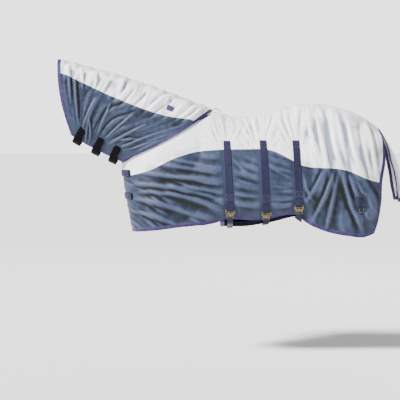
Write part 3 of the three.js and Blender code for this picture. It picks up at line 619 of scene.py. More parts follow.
def body_freedom(side, x, z, y):
    """How free the cloth is to stand off the form: 0 where it is sewn or held flat, 1 elsewhere."""
    free = ease(6, 70, np.hypot(y, np.maximum(0, spine(x) - z)))
    top = np.where(x < 0, neckline(x), 1e4)
    free = free * np.where(x < 0, ease(top - 6, top - 60, z), 1)
    if side < 0:
        for k, strap_x in enumerate(STRAP_X):
            lean = STRAP_LEAN * np.clip((STRAP_TOP[k] - z) / (STRAP_TOP[k] - CLASP_Z[k]), 0, 1)
            gap = np.abs(x - strap_x - lean)
            beneath = 1 - ease(STRAP_TOP[k] + 4, STRAP_TOP[k] + 22, z)
            held = (1 - ease(STRAP / 2 + 2, STRAP / 2 + 26, gap)) * beneath
            clasp = 1 - ease(30, 62, np.hypot(x - strap_x - STRAP_LEAN, (z - CLASP_Z[k]) * 1.2))
            free = free * (1 - 0.86 * held) * (1 - 0.75 * clasp)
    under = near(x, 40, 610, 30) * (1 - ease(-0.9 * DROP, -0.72 * DROP, z))
    free = free * (1 - 0.65 * under)
    free = free * (1 - 0.6 * (1 - ease(15, 90, np.abs(y))) * (x < SHOULDER))
    for height in CHEST_Z:
        held = (1 - ease(26, 60, np.abs(z - height))) * (1 - ease(-0.95 * CHEST, -0.8 * CHEST, x))
        free = free * (1 - 0.9 * held)
    patch = 1 - ease(34, 62, np.hypot(x - LEG_X, (z - LEG_Z - 30) * 0.75))
    return free * (1 - 0.9 * patch)


def neck_folds(side, u, v, points):
    """How far the neck cover stands off the form, in millimetres, and how free it is to."""
    seed = 100 if side < 0 else 140
    x, z = points[..., 0], points[..., 2]
    along = u * NECK
    seam_at = neck_seam(u)
    low = ease(seam_at - 0.04, seam_at + 0.1, v)
    wander = drift(x, z, 240, seed + 1)
    strength = 0.6 + 0.4 * drift(x, z, 150, seed + 2)
    across = along + 110 * v + 12 * wander
    lift = 24 * rolls(across, 84, seed + 3, 0.6) * (1 - low) * strength * ease(0, 0.1, v)
    lift += 6 * rolls(across, 36, seed + 4, 1) * (1 - low) * ease(0, 0.1, v)
    lift += (20 * rolls(along + 8 * np.sin(along / 60), 84, 99, 0.7) + 3) * (1 - ease(0, 0.12, v))
    tilt = along - mix(40, 330, ease(0.1, 0.95, u)) * (1 - v) + 12 * wander
    lift += 12 * rolls(tilt + 20 * wander, 66, seed + 5, 0.7) * low * strength
    lift += 5 * rolls(tilt + 20 * wander, 38, seed + 6, 1) * low * strength
    for k, (start, end, width, height, bow) in enumerate(NECK_CREASES):
        jitter = np.random.default_rng(seed * 50 + k).uniform(-1, 1, 2) * (0 if side < 0 else 0.02)
        lift += crease(along, v * SIDE_DEPTH, ((start[0] + jitter[0]) * NECK, start[1] * SIDE_DEPTH),
                       ((end[0] + jitter[1]) * NECK, end[1] * SIDE_DEPTH), width, height * 1.3, bow)
    lift += 0.7 * drift(x, z, 26, seed + 7)
    free = mix(0.45, 1, ease(0, 0.09, v)) * ease(0, 0.035, u) * (1 - ease(0.955, 0.995, u))
    for share in THROAT_U:
        pad = (1 - ease(34, 62, np.abs(u - share) * 372)) * ease(0.72, 0.84, v)
        free = free * (1 - 0.88 * pad)
    if side < 0:
        label = 1 - ease(26, 50, np.hypot((u - LABEL_AT[0]) * NECK * 0.8, (v - LABEL_AT[1]) * SIDE_DEPTH))
        free = free * (1 - 0.9 * label)
    return np.maximum(lift * free, 0), free


# --- The cloth settles: its edges draw together, and its folds round off and sharpen under its weight. ---


def settle(points, held, faces, frames=10):
    """Lets one side of the cloth settle under its own weight, and returns where its points come to rest."""
    cloth = mesh_piece("settling", points.reshape(-1, 3), faces)
    group = cloth.vertex_groups.new(name="held")
    weights = np.round(held.ravel(), 1)
    for weight in np.unique(weights):
        group.add(np.nonzero(weights == weight)[0].tolist(), float(weight), "REPLACE")
    modifier = cloth.modifiers.new("settle", "CLOTH")
    settings = modifier.settings
    settings.quality = 4
    settings.mass = 0.15
    settings.tension_stiffness = settings.compression_stiffness = 10
    settings.shear_stiffness = 4
    settings.bending_stiffness = 0.02
    settings.air_damping = 3
    settings.vertex_group_mass = "held"
    settings.pin_stiffness = 3
    modifier.collision_settings.use_collision = False
    scene = bpy.context.scene
    modifier.point_cache.frame_start, modifier.point_cache.frame_end = 1, frames
    for step in range(1, frames + 1):
        scene.frame_set(step)
    settled = cloth.evaluated_get(bpy.context.evaluated_depsgraph_get())
    rest = np.empty(points.size, np.float32)
    settled.data.vertices.foreach_get("co", rest)
    mesh = cloth.data
    bpy.data.objects.remove(cloth)
    bpy.data.meshes.remove(mesh)
    scene.frame_set(1)
    return rest.reshape(points.shape).astype(float) / MM


def capped(start, end, most):
    """Where points come to that move from start towards end, but never as far as most millimetres."""
    way = end - start
    length = np.maximum(np.linalg.norm(way, axis=-1, keepdims=True), 1e-9)
    return start + way / length * most * np.tanh(length / most)


def body_cloth(side):
    form = body_lattice(side)
    x, y, z = np.moveaxis(form, -1, 0)
    lift = body_folds(side, x, z, y)
    outward = lattice_normals(form, side)
    points = form + outward * (0.8 + lift)[..., None]
    points[form[..., 1] == 0, 1] = 0
    free = body_freedom(side, x, z, y)
    # depth is the mask for painted shade in the valleys and painted highlight on the ridges.
    depth = 0.5 + (ridges(lift) - 0.5) * free
    faces = lattice_faces(points.shape[0], points.shape[1], side)
    held = np.clip(1 - 0.75 * free, 0.25, 1)
    held[:, 0] = 1
    rest = capped(points, settle(points, held, faces), 10)
    inside = ((rest - form) * outward).sum(-1)
    rest += outward * np.maximum(0.6 - inside, 0)[..., None]
    rest[form[..., 1] == 0] = points[form[..., 1] == 0]
    return rest, depth


def neck_cloth(side):
    u, v, form = neck_lattice(side)
    lift, free = neck_folds(side, u, v, form)
    outward = lattice_normals(form, side)
    points = form + outward * (0.8 + lift)[..., None]
    points[:, 0, 1] = 0
    # The second value is the mask for the painted shade and highlight of the folds.
    return points, 0.5 + (ridges(lift) - 0.5) * free


(left_cloth, left_painted_shading), (right_cloth, right_painted_shading) = body_cloth(-1), body_cloth(1)
(neck_left, neck_left_painted_shading), (neck_right, neck_right_painted_shading) = neck_cloth(-1), neck_cloth(1)


# --- Materials. ---

BROAD_SHARE = 0.35  # how much the slow random change of colour counts beside the painted shade and highlight of the folds


def linear(code):
    """A colour written in sRGB hex as linear red, green and blue."""
    parts = [int(code[k : k + 2], 16) / 255 for k in (0, 2, 4)]
    return tuple(c / 12.92 if c <= 0.04045 else ((c + 0.055) / 1.055) ** 2.4 for c in parts) + (1.0,)


def plug(node, inputs):
    """Sets a node's inputs. An input takes a value or another node's output."""
    for name, value in inputs.items():
        if isinstance(value, bpy.types.NodeSocket):
            node.id_data.links.new(value, node.inputs[name])
        else:
            node.inputs[name].default_value = value


def put(tree, kind, inputs=(), stops=(), **settings):
    """Adds a node. A colour ramp's stops are pairs of a place and a colour in hex."""
    node = tree.nodes.new(kind)
    for name, value in settings.items():
        setattr(node, name, value)
    while stops and len(node.color_ramp.elements) < len(stops):
        node.color_ramp.elements.new(0.5)
    for k, (place, colour) in enumerate(stops):
        node.color_ramp.elements[k].position = place
        node.color_ramp.elements[k].color = linear(colour)
    plug(node, dict(inputs))
    return node


def new_material(name):
    material = bpy.data.materials.new(name)
    material.use_nodes = True
    return material, material.node_tree, material.node_tree.nodes["Principled BSDF"]


def mesh_cloth(name, light, middle, dark, spread, contrast, sheen, rough, gloss=0.25):
    """Polyester warp-knit mesh: a matt open net, its colour varied at random, with painted highlight on the
    ridges and painted shade in the valleys of the folds.
    """
    material, tree, shader = new_material(name)
    place = put(tree, "ShaderNodeUVMap", uv_map="cloth").outputs["UV"]
    # Painted shade and highlight: this attribute is 0 in a valley and 1 on a ridge of the folds.
    painted_fold_shading = put(tree, "ShaderNodeAttribute", attribute_name="painted_fold_shading").outputs["Fac"]
    broad = put(tree, "ShaderNodeTexNoise", {"Vector": place, "Scale": 5.0, "Detail": 2.0})
    # The real holes are 1 mm apart; the grain is drawn at about 6 mm, so that it still shows.
    grain = put(tree, "ShaderNodeTexNoise",
                {"Vector": place, "Scale": 160.0, "Detail": 4.0, "Roughness": 0.7})
    broad_tone_and_painted_shading = put(tree, "ShaderNodeMath", {0: broad.outputs["Fac"], 1: BROAD_SHARE, 2: painted_fold_shading},
               operation="MULTIPLY_ADD")
    tone_and_painted_shading = put(tree, "ShaderNodeMath", {0: grain.outputs["Fac"], 1: contrast, 2: broad_tone_and_painted_shading.outputs[0]},
               operation="MULTIPLY_ADD")
    centre = (1 + BROAD_SHARE + contrast) / 2
    # The ramp's dark end is painted shade in the valleys and its light end painted highlight on the ridges;
    # the random grain and broad noise also reach both ends.
    ramp = put(tree, "ShaderNodeValToRGB", {"Fac": tone_and_painted_shading.outputs[0]},
               [(centre - spread, dark), (centre, middle), (centre + spread, light)])
    across, down = (put(tree, "ShaderNodeTexWave", {"Vector": place, "Scale": 70.0, "Distortion": 0.4},
                        bands_direction=axis) for axis in "XY")
    net = put(tree, "ShaderNodeMath", {0: across.outputs["Fac"], 1: down.outputs["Fac"]},
              operation="MULTIPLY")
    bump = put(tree, "ShaderNodeBump", {"Strength": 0.3, "Distance": 0.0012, "Height": net.outputs[0]})
    plug(shader, {"Base Color": ramp.outputs["Color"], "Normal": bump.outputs["Normal"], "Roughness": rough,
                  "Specular IOR Level": gloss, "Sheen Weight": sheen, "Sheen Roughness": 0.45,
                  "Sheen Tint": linear(light)})
    return material


def woven_tape(name, light, dark, rough, rib):
    """Woven polyester tape: fine ribs across it that catch the light."""
    material, tree, shader = new_material(name)
    place = put(tree, "ShaderNodeUVMap", uv_map="cloth").outputs["UV"]
    ribs = put(tree, "ShaderNodeTexWave", {"Vector": place, "Scale": rib, "Distortion": 0.2},
               bands_direction="X")
    cords = put(tree, "ShaderNodeTexWave", {"Vector": place, "Scale": rib * 0.8}, bands_direction="Y")
    wear = put(tree, "ShaderNodeTexNoise", {"Vector": place, "Scale": 45.0, "Detail": 4.0})
    tone_and_painted_shading = put(tree, "ShaderNodeMath", {0: ribs.outputs["Fac"], 1: 0.35, 2: wear.outputs["Fac"]},
               operation="MULTIPLY_ADD")
    ramp = put(tree, "ShaderNodeValToRGB", {"Fac": tone_and_painted_shading.outputs[0]}, [(0.35, dark), (0.85, light)])
    both = put(tree, "ShaderNodeMath", {0: ribs.outputs["Fac"], 1: cords.outputs["Fac"]},
               operation="MULTIPLY")
    bump = put(tree, "ShaderNodeBump", {"Strength": 0.4, "Distance": 0.0008, "Height": both.outputs[0]})
    plug(shader, {"Base Color": ramp.outputs["Color"], "Normal": bump.outputs["Normal"],
                  "Roughness": rough, "Specular IOR Level": 0.2, "Sheen Weight": 0.05})
    return material


def antique_brass():
    """Cast zinc plated in antique brass: satin, with darker and brighter patina in random patches."""
    material, tree, shader = new_material("antique_brass")
    place = put(tree, "ShaderNodeTexCoord").outputs["Object"]
    patina = put(tree, "ShaderNodeTexNoise",
                 {"Vector": place, "Scale": 90.0, "Detail": 5.0, "Roughness": 0.65}).outputs["Fac"]
    ramp = put(tree, "ShaderNodeValToRGB", {"Fac": patina},
               [(0.35, "3C3628"), (0.55, "736952"), (0.75, "ACA285")])
    rough = put(tree, "ShaderNodeMapRange", {"Value": patina, "To Min": 0.55, "To Max": 0.28})
    bump = put(tree, "ShaderNodeBump", {"Strength": 0.15, "Distance": 0.0004, "Height": patina})
    plug(shader, {"Base Color": ramp.outputs["Color"], "Roughness": rough.outputs["Result"],
                  "Normal": bump.outputs["Normal"], "Metallic": 1.0})
    return material


def touch_tape():
    """Nylon hook and loop tape: a black nap that takes almost no light."""
    material, tree, shader = new_material("hook_and_loop")
    place = put(tree, "ShaderNodeUVMap", uv_map="cloth").outputs["UV"]
    nap = put(tree, "ShaderNodeTexVoronoi", {"Vector": place, "Scale": 420.0}).outputs["Distance"]
    ramp = put(tree, "ShaderNodeValToRGB", {"Fac": nap}, [(0.0, "141316"), (0.6, "060607")])
    bump = put(tree, "ShaderNodeBump", {"Strength": 0.5, "Distance": 0.0008, "Height": nap})
    plug(shader, {"Base Color": ramp.outputs["Color"], "Normal": bump.outputs["Normal"],
                  "Roughness": 0.92, "Specular IOR Level": 0.08})
    return material


def thread():
    """Bonded polyester thread: twisted fibres with a dull shine, a shade lighter than the tape."""
    material, tree, shader = new_material("polyester_sewing_thread")
    place = put(tree, "ShaderNodeUVMap", uv_map="cloth").outputs["UV"]
    twist = put(tree, "ShaderNodeTexNoise", {"Vector": place, "Scale": 300.0})
    ramp = put(tree, "ShaderNodeValToRGB", {"Fac": twist.outputs["Fac"]},
               [(0.35, "453E68"), (0.65, "7C74A0")])
    plug(shader, {"Base Color": ramp.outputs["Color"], "Roughness": 0.45})
    return material


# Each mesh's first colour is painted highlight on the ridges, its second the cloth's own colour and its third
# painted shade in the valleys of the folds; the random variation of colour also reaches the first and third.
white_mesh = mesh_cloth("white_knit_mesh", "FCFCFB", "ECEDF0", "7F899B", 0.27, 0.14, 0.08, 0.8)
navy_mesh = mesh_cloth("navy_knit_mesh", "3F4862", "2A344A", "04070D", 0.25, 0.24, 0.06, 0.5)
wrap_mesh = mesh_cloth("wrap_knit_mesh", "161B2C", "0C0F1C", "030408", 0.3, 0.22, 0.0, 1.0, 0.02)
seam_tape = woven_tape("white_seam_tape", "F2F3F4", "D5D9DF", 0.65, 90.0)
edge_tape = woven_tape("purple_binding_tape", "3B3060", "140F2C", 0.55, 90.0)
web_tape = woven_tape("navy_webbing", "1F1E3C", "0B0A1C", 0.6, 60.0)
label_tape = woven_tape("plain_label", "4A3E66", "2D2546", 0.65, 120.0)
black_nap = touch_tape()
brass = antique_brass()
sewing_thread = thread()

# --- Panels. ---


def panel(name, points, side, material, body, node, depth):
    """One panel of cloth, attached to its body in place of the frame's part."""
    piece = cloth_piece(name, points, side, material, depth)
    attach(piece, body)
    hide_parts(node)


sides = ((-1, "left", left_cloth, left_painted_shading, neck_left, neck_left_painted_shading),
         (1, "right", right_cloth, right_painted_shading, neck_right, neck_right_painted_shading))
for side, word, cloth, depth, neck, neck_painted_shading in sides:
    panel(f"{word}_upper_cloth", cloth[:, : UPPER_ROWS + 1], side, white_mesh, "body_sheet",
          f"{word}_upper_panel", depth[:, : UPPER_ROWS + 1])
    panel(f"{word}_lower_cloth", cloth[:, UPPER_ROWS:], side, navy_mesh, "body_sheet",
          f"{word}_lower_panel", depth[:, UPPER_ROWS:])
    panel(f"{word}_neck_upper_cloth", neck[:, : NECK_UPPER_ROWS + 1], side, white_mesh,
          "neck_cover", f"{word}_neck_upper", neck_painted_shading[:, : NECK_UPPER_ROWS + 1])
    panel(f"{word}_neck_lower_cloth", neck[:, NECK_UPPER_ROWS:], side, navy_mesh,
          "neck_cover", f"{word}_neck_lower", neck_painted_shading[:, NECK_UPPER_ROWS:])

# --- Bindings and the tapes over the seams. ---

for side, word, cloth, depth, neck, neck_painted_shading in sides:
    out = np.array((0, side, 0))
    binding(f"{word}_hem_tape", edge_lattice(cloth), out, "body_sheet", f"{word}_hem_binding")
    last = int((cloth[:, 0, 0] < -4).sum())
    binding(f"{word}_collar_tape", line_lattice(cloth[2:last].transpose(1, 0, 2)), out, "body_sheet",
            f"{word}_collar_binding")
    binding(f"{word}_neck_tape", edge_lattice(neck), out, "neck_cover", f"{word}_neck_binding")


SEAM_TAPE = 0.9  # thickness of a seam tape, and how far it lies off the cloth


def ridge_tape(name, left, right, body, node):
    """A tape that covers the seam along the middle, from one side's cloth over to the other's."""
    depths = (0.0, 5.0, 10.0, 12.4, 13.0)
    halves = [line_lattice(half.transpose(1, 0, 2), depths) for half in (left, right)]
    lattice = np.concatenate([halves[1][:, :0:-1], halves[0]], 1)
    lattice[:, len(depths) - 1, 1] = 0
    up = lattice_up(lattice, UP)
    top = lattice + up * 2 * SEAM_TAPE
    piece = slab(name, lattice + up * SEAM_TAPE, top, seam_tape)
    sew(piece, [top[:, k] for k in (2, -3)])
    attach(piece, body)
    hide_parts(node)


over_back = left_cloth[:, 0, 0] >= 0
ridge_tape("spine_seam_tape", left_cloth[over_back][:-2], right_cloth[over_back][:-2], "body_sheet",
           "spine_tape")
ridge_tape("crest_seam_tape", neck_left[2:-2], neck_right[2:-2], "neck_cover", "crest_tape")

# --- Webbing straps. ---

WEB = 2.2  # thickness of webbing
CLASP_LIFT = 13.1
ACROSS = np.array([-1, -0.93, -0.5, 0, 0.5, 0.93, 1]) / 2  # shares of a strap's width


def standing(side, x, z, lift):
    """The axes and place of a piece on the form: along the horse, up the form and out of it."""
    out = form_normal(side, x, z)
    up = unit(np.array((0, 0, 1)) - out * out[2])
    return np.cross(up, out), up, out, on_form(side, x, z) + out * lift


def box_stitch(lattice, first, last):
    """The rows of a box stitch with a cross in it, between two places along a strap."""
    part = lattice[first : last + 1]
    a, b = part[:, 1], part[:, -2]
    return [a, b, np.linspace(a[0], b[0], 12), np.linspace(a[-1], b[-1], 12),
            np.linspace(a[0], b[-1], 16), np.linspace(b[0], a[-1], 16)]


def strap(name, lattice, up, thickness, material, boxes=(), rows=None):
    """A strap on its lattice, sewn in boxes between places along it, or in rows down its two edges."""
    piece = slab(name, lattice, lattice + up * thickness, material)
    top = lattice + up * (thickness + 0.1)
    lines = [line for first, last in boxes for line in box_stitch(top, first, last)]
    if rows:
        lines += [top[rows, c] for c in (1, -2)]
    sew(piece, lines)
    return piece


def round_bar(middle, along, up, out, width, turn):
    """A strap's lattice round a bar. turn holds places up and out from the bar's middle."""
    turn = np.array(turn)
    return np.stack([middle + along * width * a + up * turn[:, :1] + out * turn[:, 1:] for a in ACROSS], 1)


def across_run(runs, count):
    """A strap's lattice from the runs of points along its two edges."""
    first, last = (smooth_run(run, count) for run in runs)
    return np.stack([mix(first, last, a + 0.5) for a in ACROSS], 1)


ALL = slice(None)
PLATE_TURN = [(24, -2.6), (14, 0.4), (6, 3.4), (1, 4.4), (-3.8, 3.8), (-5.0, 0), (-3.6, -3.4), (2, -4.2),
              (12, -4.8), (26, -5.2), (44, -5.6)]
for k, top_x in enumerate(STRAP_X):
    low_x = top_x + STRAP_LEAN
    along, up, out, middle = standing(-1, low_x, CLASP_Z[k], CLASP_LIFT)
    steps = np.linspace(0, 1, 44)
    x = mix(top_x, low_x, steps)[:, None] + ACROSS * STRAP
    z = mix(STRAP_TOP[k], CLASP_Z[k] + 34, steps)[:, None] + 0 * x
    height = body_folds(-1, x, z, -half_width(x, z)).max(1)
    window = np.hanning(11)[1:-1]
    height = np.convolve(np.pad(height, 4, mode="edge"), window / window.sum(), "valid")
    height = np.maximum(height + 1.8, 3.2)
    down = on_form(-1, x, z) + form_normal(-1, x, z) * height[:, None, None]
    # The strap goes down to the plate, round its bar from the front, and back up behind itself.
    bend = round_bar(middle, along, up, out, STRAP * 0.96, PLATE_TURN)
    lattice = np.concatenate([down[:-1], bend])
    lattice = np.stack([smooth_run(lattice[:, c], 70) for c in range(7)], 1)
    piece = strap(f"surcingle_strap_web_{k + 1}", lattice, lattice_up(lattice, out, (3, 3)), WEB, web_tape,
                  [(1, 7), (47, 52)])
    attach(piece, "body_sheet")
    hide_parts(f"surcingle_strap_{k + 1}")

# --- Chest fastenings: webbing tongues from the right that press on to pads on the left. ---

TONGUE_WIDTH, TONGUE_LIFT = 38, 9.4
PAD_WIDTH, PAD_LIFT = 44, 5.4


def round_chest(height, width, first, last, count, lift):
    """A strap's lattice round the chest at a height, between two angles from the middle."""
    angles = np.radians(np.linspace(first, last, count))[:, None]
    z = height + ACROSS * width + 0 * angles
    x = SHOULDER - (SHOULDER - front_line(z)) * np.cos(angles)
    lattice = np.stack([x, np.sign(angles) * half_width(x, z), z], -1)
    lattice[..., 1] = np.where(np.abs(lattice[..., 1]) < 1, 0, lattice[..., 1])
    return lattice + lattice_up(lattice, FRONT) * lift


for k, height in enumerate(CHEST_Z):
    tongue = round_chest(height, TONGUE_WIDTH, 36, -34, 46, TONGUE_LIFT)
    piece = strap(f"chest_tongue_web_{k + 1}", tongue, lattice_up(tongue, FRONT), WEB, web_tape,
                  [(0, 5), (38, 44)])
    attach(piece, f"chest_tongue_{k + 1}")
    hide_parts(f"chest_strap_{k + 1}")
    pad = round_chest(height, PAD_WIDTH, -11, -36, 16, PAD_LIFT)
    piece = strap(f"chest_pad_nap_{k + 1}", pad, lattice_up(pad, FRONT), 1.6, black_nap,
                  rows=ALL)
    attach(piece, "body_sheet")
    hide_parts(f"chest_pad_{k + 1}")

# --- Throat straps: each is sewn to the right edge and presses on to a pad on the left. ---

THROAT_STRAP = 56.0
THROAT_PAD = 50.0


def throat_place(share, back, h):
    """A place by the throat edge: back along the edge and h up from it, in millimetres."""
    x, z = (float(c) for c in neck_point(share, 1.0))
    ahead, behind = (np.array(neck_point(share + d, 1.0), float) for d in (-0.05, 0.05))
    run = unit(behind - ahead)
    return x + back * run[0] - h * run[1], z + back * run[1] + h * run[0]


def throat_side(share, side, back, h, lift):
    """The same place on one side of the neck, lifted off it."""
    place = throat_place(share, back, h)
    return on_form(side, *place, COVER_GAP) + form_normal(side, *place, COVER_GAP) * lift


def throat_run(share, back):
    """One edge of a throat strap: down the right side, under the throat, and up over the pad."""
    half = half_width(*throat_place(share, back, 0), COVER_GAP)
    under = [throat_place(share, back, -h) for h in (24, 38, 24)]
    under = [np.array((x, across * half, z)) for (x, z), across in zip(under, (0.7, 0, -0.7))]
    right = [throat_side(share, 1, back, h, lift) for h, lift in ((44, 6.9), (22, 7.9), (-1, 11.9))]
    left = [throat_side(share, -1, back, h, lift)
            for h, lift in ((-1, 11.9), (22, 7.9), (46, 6.9), (72, 6.9))]
    return right + under + left


for k, share in enumerate(THROAT_U):
    lattice = across_run([throat_run(share, back) for back in (THROAT_STRAP / 2, -THROAT_STRAP / 2)], 54)
    up = lattice_up(lattice, lattice - lattice.mean((0, 1)))
    piece = strap(f"throat_strap_nap_{k + 1}", lattice, up, WEB, black_nap, [(0, 6)],
                  slice(44, 54))
    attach(piece, f"throat_strap_{k + 1}")
    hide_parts(f"throat_strap_{k + 1}")
    pad = np.stack([np.stack([throat_side(share, -1, a * THROAT_PAD, h, 4.2) for a in ACROSS])
                    for h in np.linspace(84, 30, 12)])
    piece = strap(f"throat_pad_nap_{k + 1}", pad, lattice_up(pad, LEFT), 1.4, black_nap,
                  rows=ALL)
    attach(piece, "neck_cover")
    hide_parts(f"throat_pad_{k + 1}")

# --- The plain label on the neck cover. ---

LABEL_WIDTH, LABEL_LENGTH = 34, 49.4
label_x, label_z = (float(c) for c in neck_point(*LABEL_AT))
lean_x, lean_z = np.array((46, -18)) / math.hypot(46, 18)
label = np.stack([on_form(-1, label_x + a * lean_x + ACROSS * LABEL_WIDTH * lean_z,
                          label_z + a * lean_z - ACROSS * LABEL_WIDTH * lean_x, COVER_GAP)
                  for a in np.linspace(-LABEL_LENGTH / 2, LABEL_LENGTH / 2, 14)])
label_up = lattice_up(label, LEFT)
piece = slab("neck_label_tape", label + label_up * 3.0, label + label_up * 4.2, label_tape)
top = label + label_up * 4.25
sew(piece, [top[:, 1], top[:, -2], top[1], top[-2]], 4.0, 2.8, 0.4)
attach(piece, "neck_cover")
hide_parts("neck_label")

# --- The belly wrap: a sling from inside the right flank, under the belly, to the left hem. ---

WRAP_FRONT = 0.045 * BACK
WRAP_REAR = 0.54 * BACK
WRAP_TOP = -0.75 * DROP
WRAP_ROWS = 48
wrap_bottom = through([(WRAP_FRONT, -0.958 * DROP), (0.19 * BACK, -0.958 * DROP),
                       (0.34 * BACK, -0.925 * DROP), (0.46 * BACK, -0.883 * DROP),
                       (WRAP_REAR, -0.87 * DROP)])


def wrap_run(x, count):
    """The wrap's inner surface across the horse at x, from the right flank to the left hem."""
    low = float(wrap_bottom(x))
    turn = float(half_width(x, low + 70))
    right = float(half_width(x, WRAP_TOP)) - 8.4
    lower = float(half_width(x, WRAP_TOP - 30)) - 10.4
    return smooth_run([(x, right, WRAP_TOP), (x, lower, WRAP_TOP - 30), (x, 0.86 * turn, low + 50),
                       (x, 0.52 * turn, low + 9), (x, 0, low), (x, -0.5 * turn, low + 8),
                       (x, -0.82 * turn, low + 44)], count)


wrap_form = np.stack([wrap_run(x, WRAP_ROWS) for x in np.linspace(WRAP_FRONT, WRAP_REAR, 56)])
wrap_up = lattice_up(wrap_form, DOWN)
wrap_share = np.linspace(0, 1, WRAP_ROWS)[None, :] + np.zeros(wrap_form.shape[:2])
wrap_x, wrap_y = wrap_form[..., 0], wrap_form[..., 1]
wrap_lift = 7 * rolls(wrap_x * 0.5 + 0.9 * wrap_y + 30 * drift(wrap_x, wrap_y, 240, 301), 74, 302)
wrap_lift += 4 * rolls(wrap_x + 20 * drift(wrap_x, wrap_y, 200, 303), 60, 304)
wrap_lift *= near(wrap_share, 0.12, 0.9, 0.1) * near(wrap_x, WRAP_FRONT + 26, WRAP_REAR - 26, 24)
wrap_points = wrap_form + wrap_up * (1.6 - 0.5 * wrap_lift)[..., None]
# The last argument is the mask for painted shade in the wrap's valleys and painted highlight on its ridges.
wrap = cloth_piece("belly_wrap_cloth", wrap_points, 1, wrap_mesh, ridges(-0.5 * wrap_lift))
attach(wrap, "body_sheet")
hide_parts("belly_wrap")
binding("wrap_front_tape", line_lattice(wrap_points), DOWN, "body_sheet", "wrap_front_binding")
binding("wrap_rear_tape", line_lattice(wrap_points[::-1]), DOWN, "body_sheet", "wrap_rear_binding")

# --- Belly straps: from each hook's lower bar, under the hem, to where they are sewn to the wrap. ---

BELLY_STRAP = 38
HOOK_TURN = [(-9, 0.5), (-4.5, -3.4), (0, -4.2), (4.5, -2.6), (5.4, 0.8), (4, 4.0), (0, 4.6), (-5, 4.4),
             (-12, 3.6), (-26, 3.0)]
for k, top_x in enumerate(STRAP_X):
    low_x = top_x + STRAP_LEAN
    along, up, out, middle = standing(-1, low_x, CLASP_Z[k], CLASP_LIFT)
    bar = middle - up * 58.5 + out * 4.5  # the hook's lower bar
    runs = []
    for half in (0.5, -0.5):
        at = low_x + half * BELLY_STRAP
        centre = np.array((at, 0, float(wrap_bottom(at)) + 260))
        under_wrap = [p + unit(p - centre) * 8.4 for p in wrap_run(at, 11)[6:10]]
        hem = float(hem_line(at))
        beside_hem = np.array((at, -float(half_width(at, hem)) - 6, hem - 26))
        loop = [bar + along * half * BELLY_STRAP + up * a + out * b for a, b in HOOK_TURN]
        runs.append([*under_wrap, beside_hem, *loop])
    lattice = across_run(runs, 76)
    piece = strap(f"belly_strap_web_{k + 1}", lattice, lattice_up(lattice, DOWN, (4, 3)), WEB, web_tape,
                  [(1, 8)])
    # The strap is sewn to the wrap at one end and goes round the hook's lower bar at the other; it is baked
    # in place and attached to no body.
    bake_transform(piece)
    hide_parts(f"belly_strap_{k + 1}")

# --- Webbing patches that carry the rings. ---

PATCH_WIDTH, PATCH_LIFT = 44, 5.2
RING_LOOP = 22.0  # width of the webbing round a ring
RING_TURN = [(7, -2.6), (3, 2.6), (-2.5, 3.9), (-5.2, 0.6), (-3.2, -3.6), (3, -4.4), (12, -4.0)]
for side, word in ((-1, "left"), (1, "right")):
    along, up, out, middle = standing(side, LEG_X, LEG_Z, 9.8)
    z = np.linspace(LEG_Z + 66, LEG_Z + 12, 14)[:, None] + 0 * ACROSS
    x = LEG_X + ACROSS * PATCH_WIDTH + 0 * z
    patch = on_form(side, x, z) + form_normal(side, x, z) * PATCH_LIFT
    piece = strap(f"{word}_leg_patch_web", patch, lattice_up(patch, np.array((0, side, 0))), WEB, web_tape,
                  [(1, 11)])
    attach(piece, "body_sheet")
    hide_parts(f"{word}_leg_patch")
    loop = round_bar(middle, along, up, out, RING_LOOP, RING_TURN)
    loop = np.stack([smooth_run(loop[:, c], 22) for c in range(7)], 1)
    piece = strap(f"{word}_leg_loop_web", loop, lattice_up(loop, out, (5, 3)), 1.6, web_tape)
    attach(piece, "body_sheet")

TAB_X = 25.0
TAB_LIFT = 28.0
TAB_WIDTH = 22


def above_spine(back, rise):
    """A place on the middle line, back from the ring and above the spine there."""
    return TAB_X + back, float(spine(np.array(TAB_X + back))) + rise


ring_z = above_spine(0, TAB_LIFT)[1]
tab_line = [above_spine(78, 5), above_spine(50, 7), above_spine(30, 15), (TAB_X + 10, ring_z - 1.5),
            (TAB_X + 2, ring_z + 3.6), (TAB_X - 4.6, ring_z + 0.5), (TAB_X + 1, ring_z - 3.6),
            (TAB_X + 12, ring_z - 5.5), above_spine(28, 12)]
tab = across_run([[(x, y, z) for x, z in tab_line] for y in (TAB_WIDTH / 2, -TAB_WIDTH / 2)], 44)
piece = strap("withers_tab_web", tab, lattice_up(tab, UP, (3, 3)), 1.8, web_tape, [(1, 9)])
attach(piece, "body_sheet")
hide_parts("withers_patch")

# --- Tail flap: it hangs from the rear edge at the dock. ---

FLAP_TOP = float(spine(np.array(BACK))) - 2
FLAP_DROP = 0.59 * DROP
FLAP_END = float(rear_line(np.array(-0.155 * DROP)))
flap_back = through([(-1, 0.135), (-0.86, 0.123), (-0.57, 0.105), (-0.3, 0.074), (-0.1, 0.033), (0, 0.006)])
flap_u = np.linspace(0, 1, 40)[:, None]
flap_v = np.linspace(0, 1, 54)[None, :]
flap_half = mix(58, 128, flap_v**0.7)
flap_across = 2 * flap_u - 1 + 0 * flap_v
flap_x = FLAP_END + flap_back(-flap_v) * BACK - 46 * np.minimum(1, 2.5 * flap_v) * flap_across**2
flap_z = FLAP_TOP - flap_v * FLAP_DROP - 9 * (1 - flap_v) * flap_across**2
flap_form = np.stack([flap_x, flap_across * flap_half, flap_z + 0 * flap_across], -1)
flap_up = lattice_up(flap_form, BACKWARDS)
spread = flap_across * 100 + 12 * drift(flap_form[..., 1], flap_form[..., 2], 160, 401)
flap_lift = 20 * rolls(spread, 62, 402, 0.8) * ease(0.06, 0.7, flap_v)
flap_lift += 4 * rolls(spread, 27, 403) * ease(0.05, 0.4, flap_v)
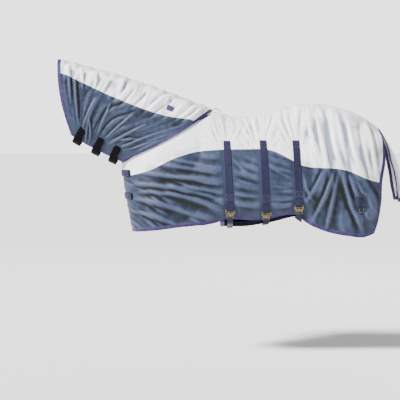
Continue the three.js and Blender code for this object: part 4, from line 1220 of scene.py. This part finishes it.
flap_points = flap_form + flap_up * (0.8 + flap_lift)[..., None]
# The last argument is the mask for painted shade in the flap's valleys and painted highlight on its ridges.
flap = cloth_piece("tail_flap_cloth", flap_points, 1, white_mesh, ridges(flap_lift))


def bend_at_dock(piece, *nodes):
    """Bakes a piece of the tail flap in place, where it is sewn to the body sheet at the dock, and hides the
    frame's parts it replaces.
    """
    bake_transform(piece)
    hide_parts(*nodes)


bend_at_dock(flap, "tail_flap")
tape = folded_tape("tail_flap_tape", edge_lattice(flap_points), BACKWARDS)
bend_at_dock(tape, "tail_flap_binding")

# --- Floor, light and camera. ---

FLOOR_Z = -1.62
bpy.ops.mesh.primitive_plane_add(size=160, location=(0, 0, FLOOR_Z))
floor = bpy.context.object
floor.name = "floor"
# Matt white background paper.
floor_material, _, floor_shader = new_material("floor_paper")
plug(floor_shader, {"Base Color": linear("F4F4F2"), "Roughness": 0.9})
floor.data.materials.append(floor_material)

world = bpy.data.worlds.new("studio")
bpy.context.scene.world = world
world.use_nodes = True
# The camera sees a bright room that lights the sheet only a little.
seen = put(world.node_tree, "ShaderNodeLightPath").outputs["Is Camera Ray"]
glow = put(world.node_tree, "ShaderNodeMapRange", {"Value": seen, "To Min": 0.3, "To Max": 2.8})
plug(world.node_tree.nodes["Background"], {"Color": linear("FAFBFD"), "Strength": glow.outputs["Result"]})


def aimed(name, data, place, target):
    """Puts a light or camera in the scene at a place, turned to look at its target."""
    thing = bpy.data.objects.new(name, data)
    thing.location = place
    thing.rotation_euler = (Vector(target) - Vector(place)).to_track_quat("-Z", "Y").to_euler()
    bpy.context.scene.collection.objects.link(thing)
    return thing


def area_light(name, place, target, size, power):
    light = bpy.data.lights.new(name, "AREA")
    light.size = size
    light.energy = power
    aimed(name, light, place, target)


sun = bpy.data.lights.new("key", "SUN")
sun.energy = 11
sun.angle = math.radians(9)
aimed("key", sun, (0, 0, 0), (5.0, 2.9, -4.6))
area_light("fill", (5, -5, 2.0), (0.3, 0, -0.3), 4, 90)
area_light("back", (1, 6, 4), (0.2, 0, -0.3), 4, 160)

lens = bpy.data.cameras.new("camera")
lens.lens = 136
lens.sensor_width = 36
bpy.context.scene.camera = aimed("camera", lens, (-0.086, -10, -0.104), (-0.086, 0, -0.581))

FINISHES = {"hardware": brass, "webbing": web_tape, "hook_loop": black_nap, "binding": edge_tape,
            "label": label_tape, "wrap_mesh": wrap_mesh, "upper_mesh": white_mesh, "lower_mesh": navy_mesh}
slots = {part["node"]: part["material_slot"] for part in frame["record"]["subparts"]}
for name, node in nodes.items():
    if not node.hide_render:
        for slot in node.material_slots:
            slot.material = FINISHES[slots[name]]
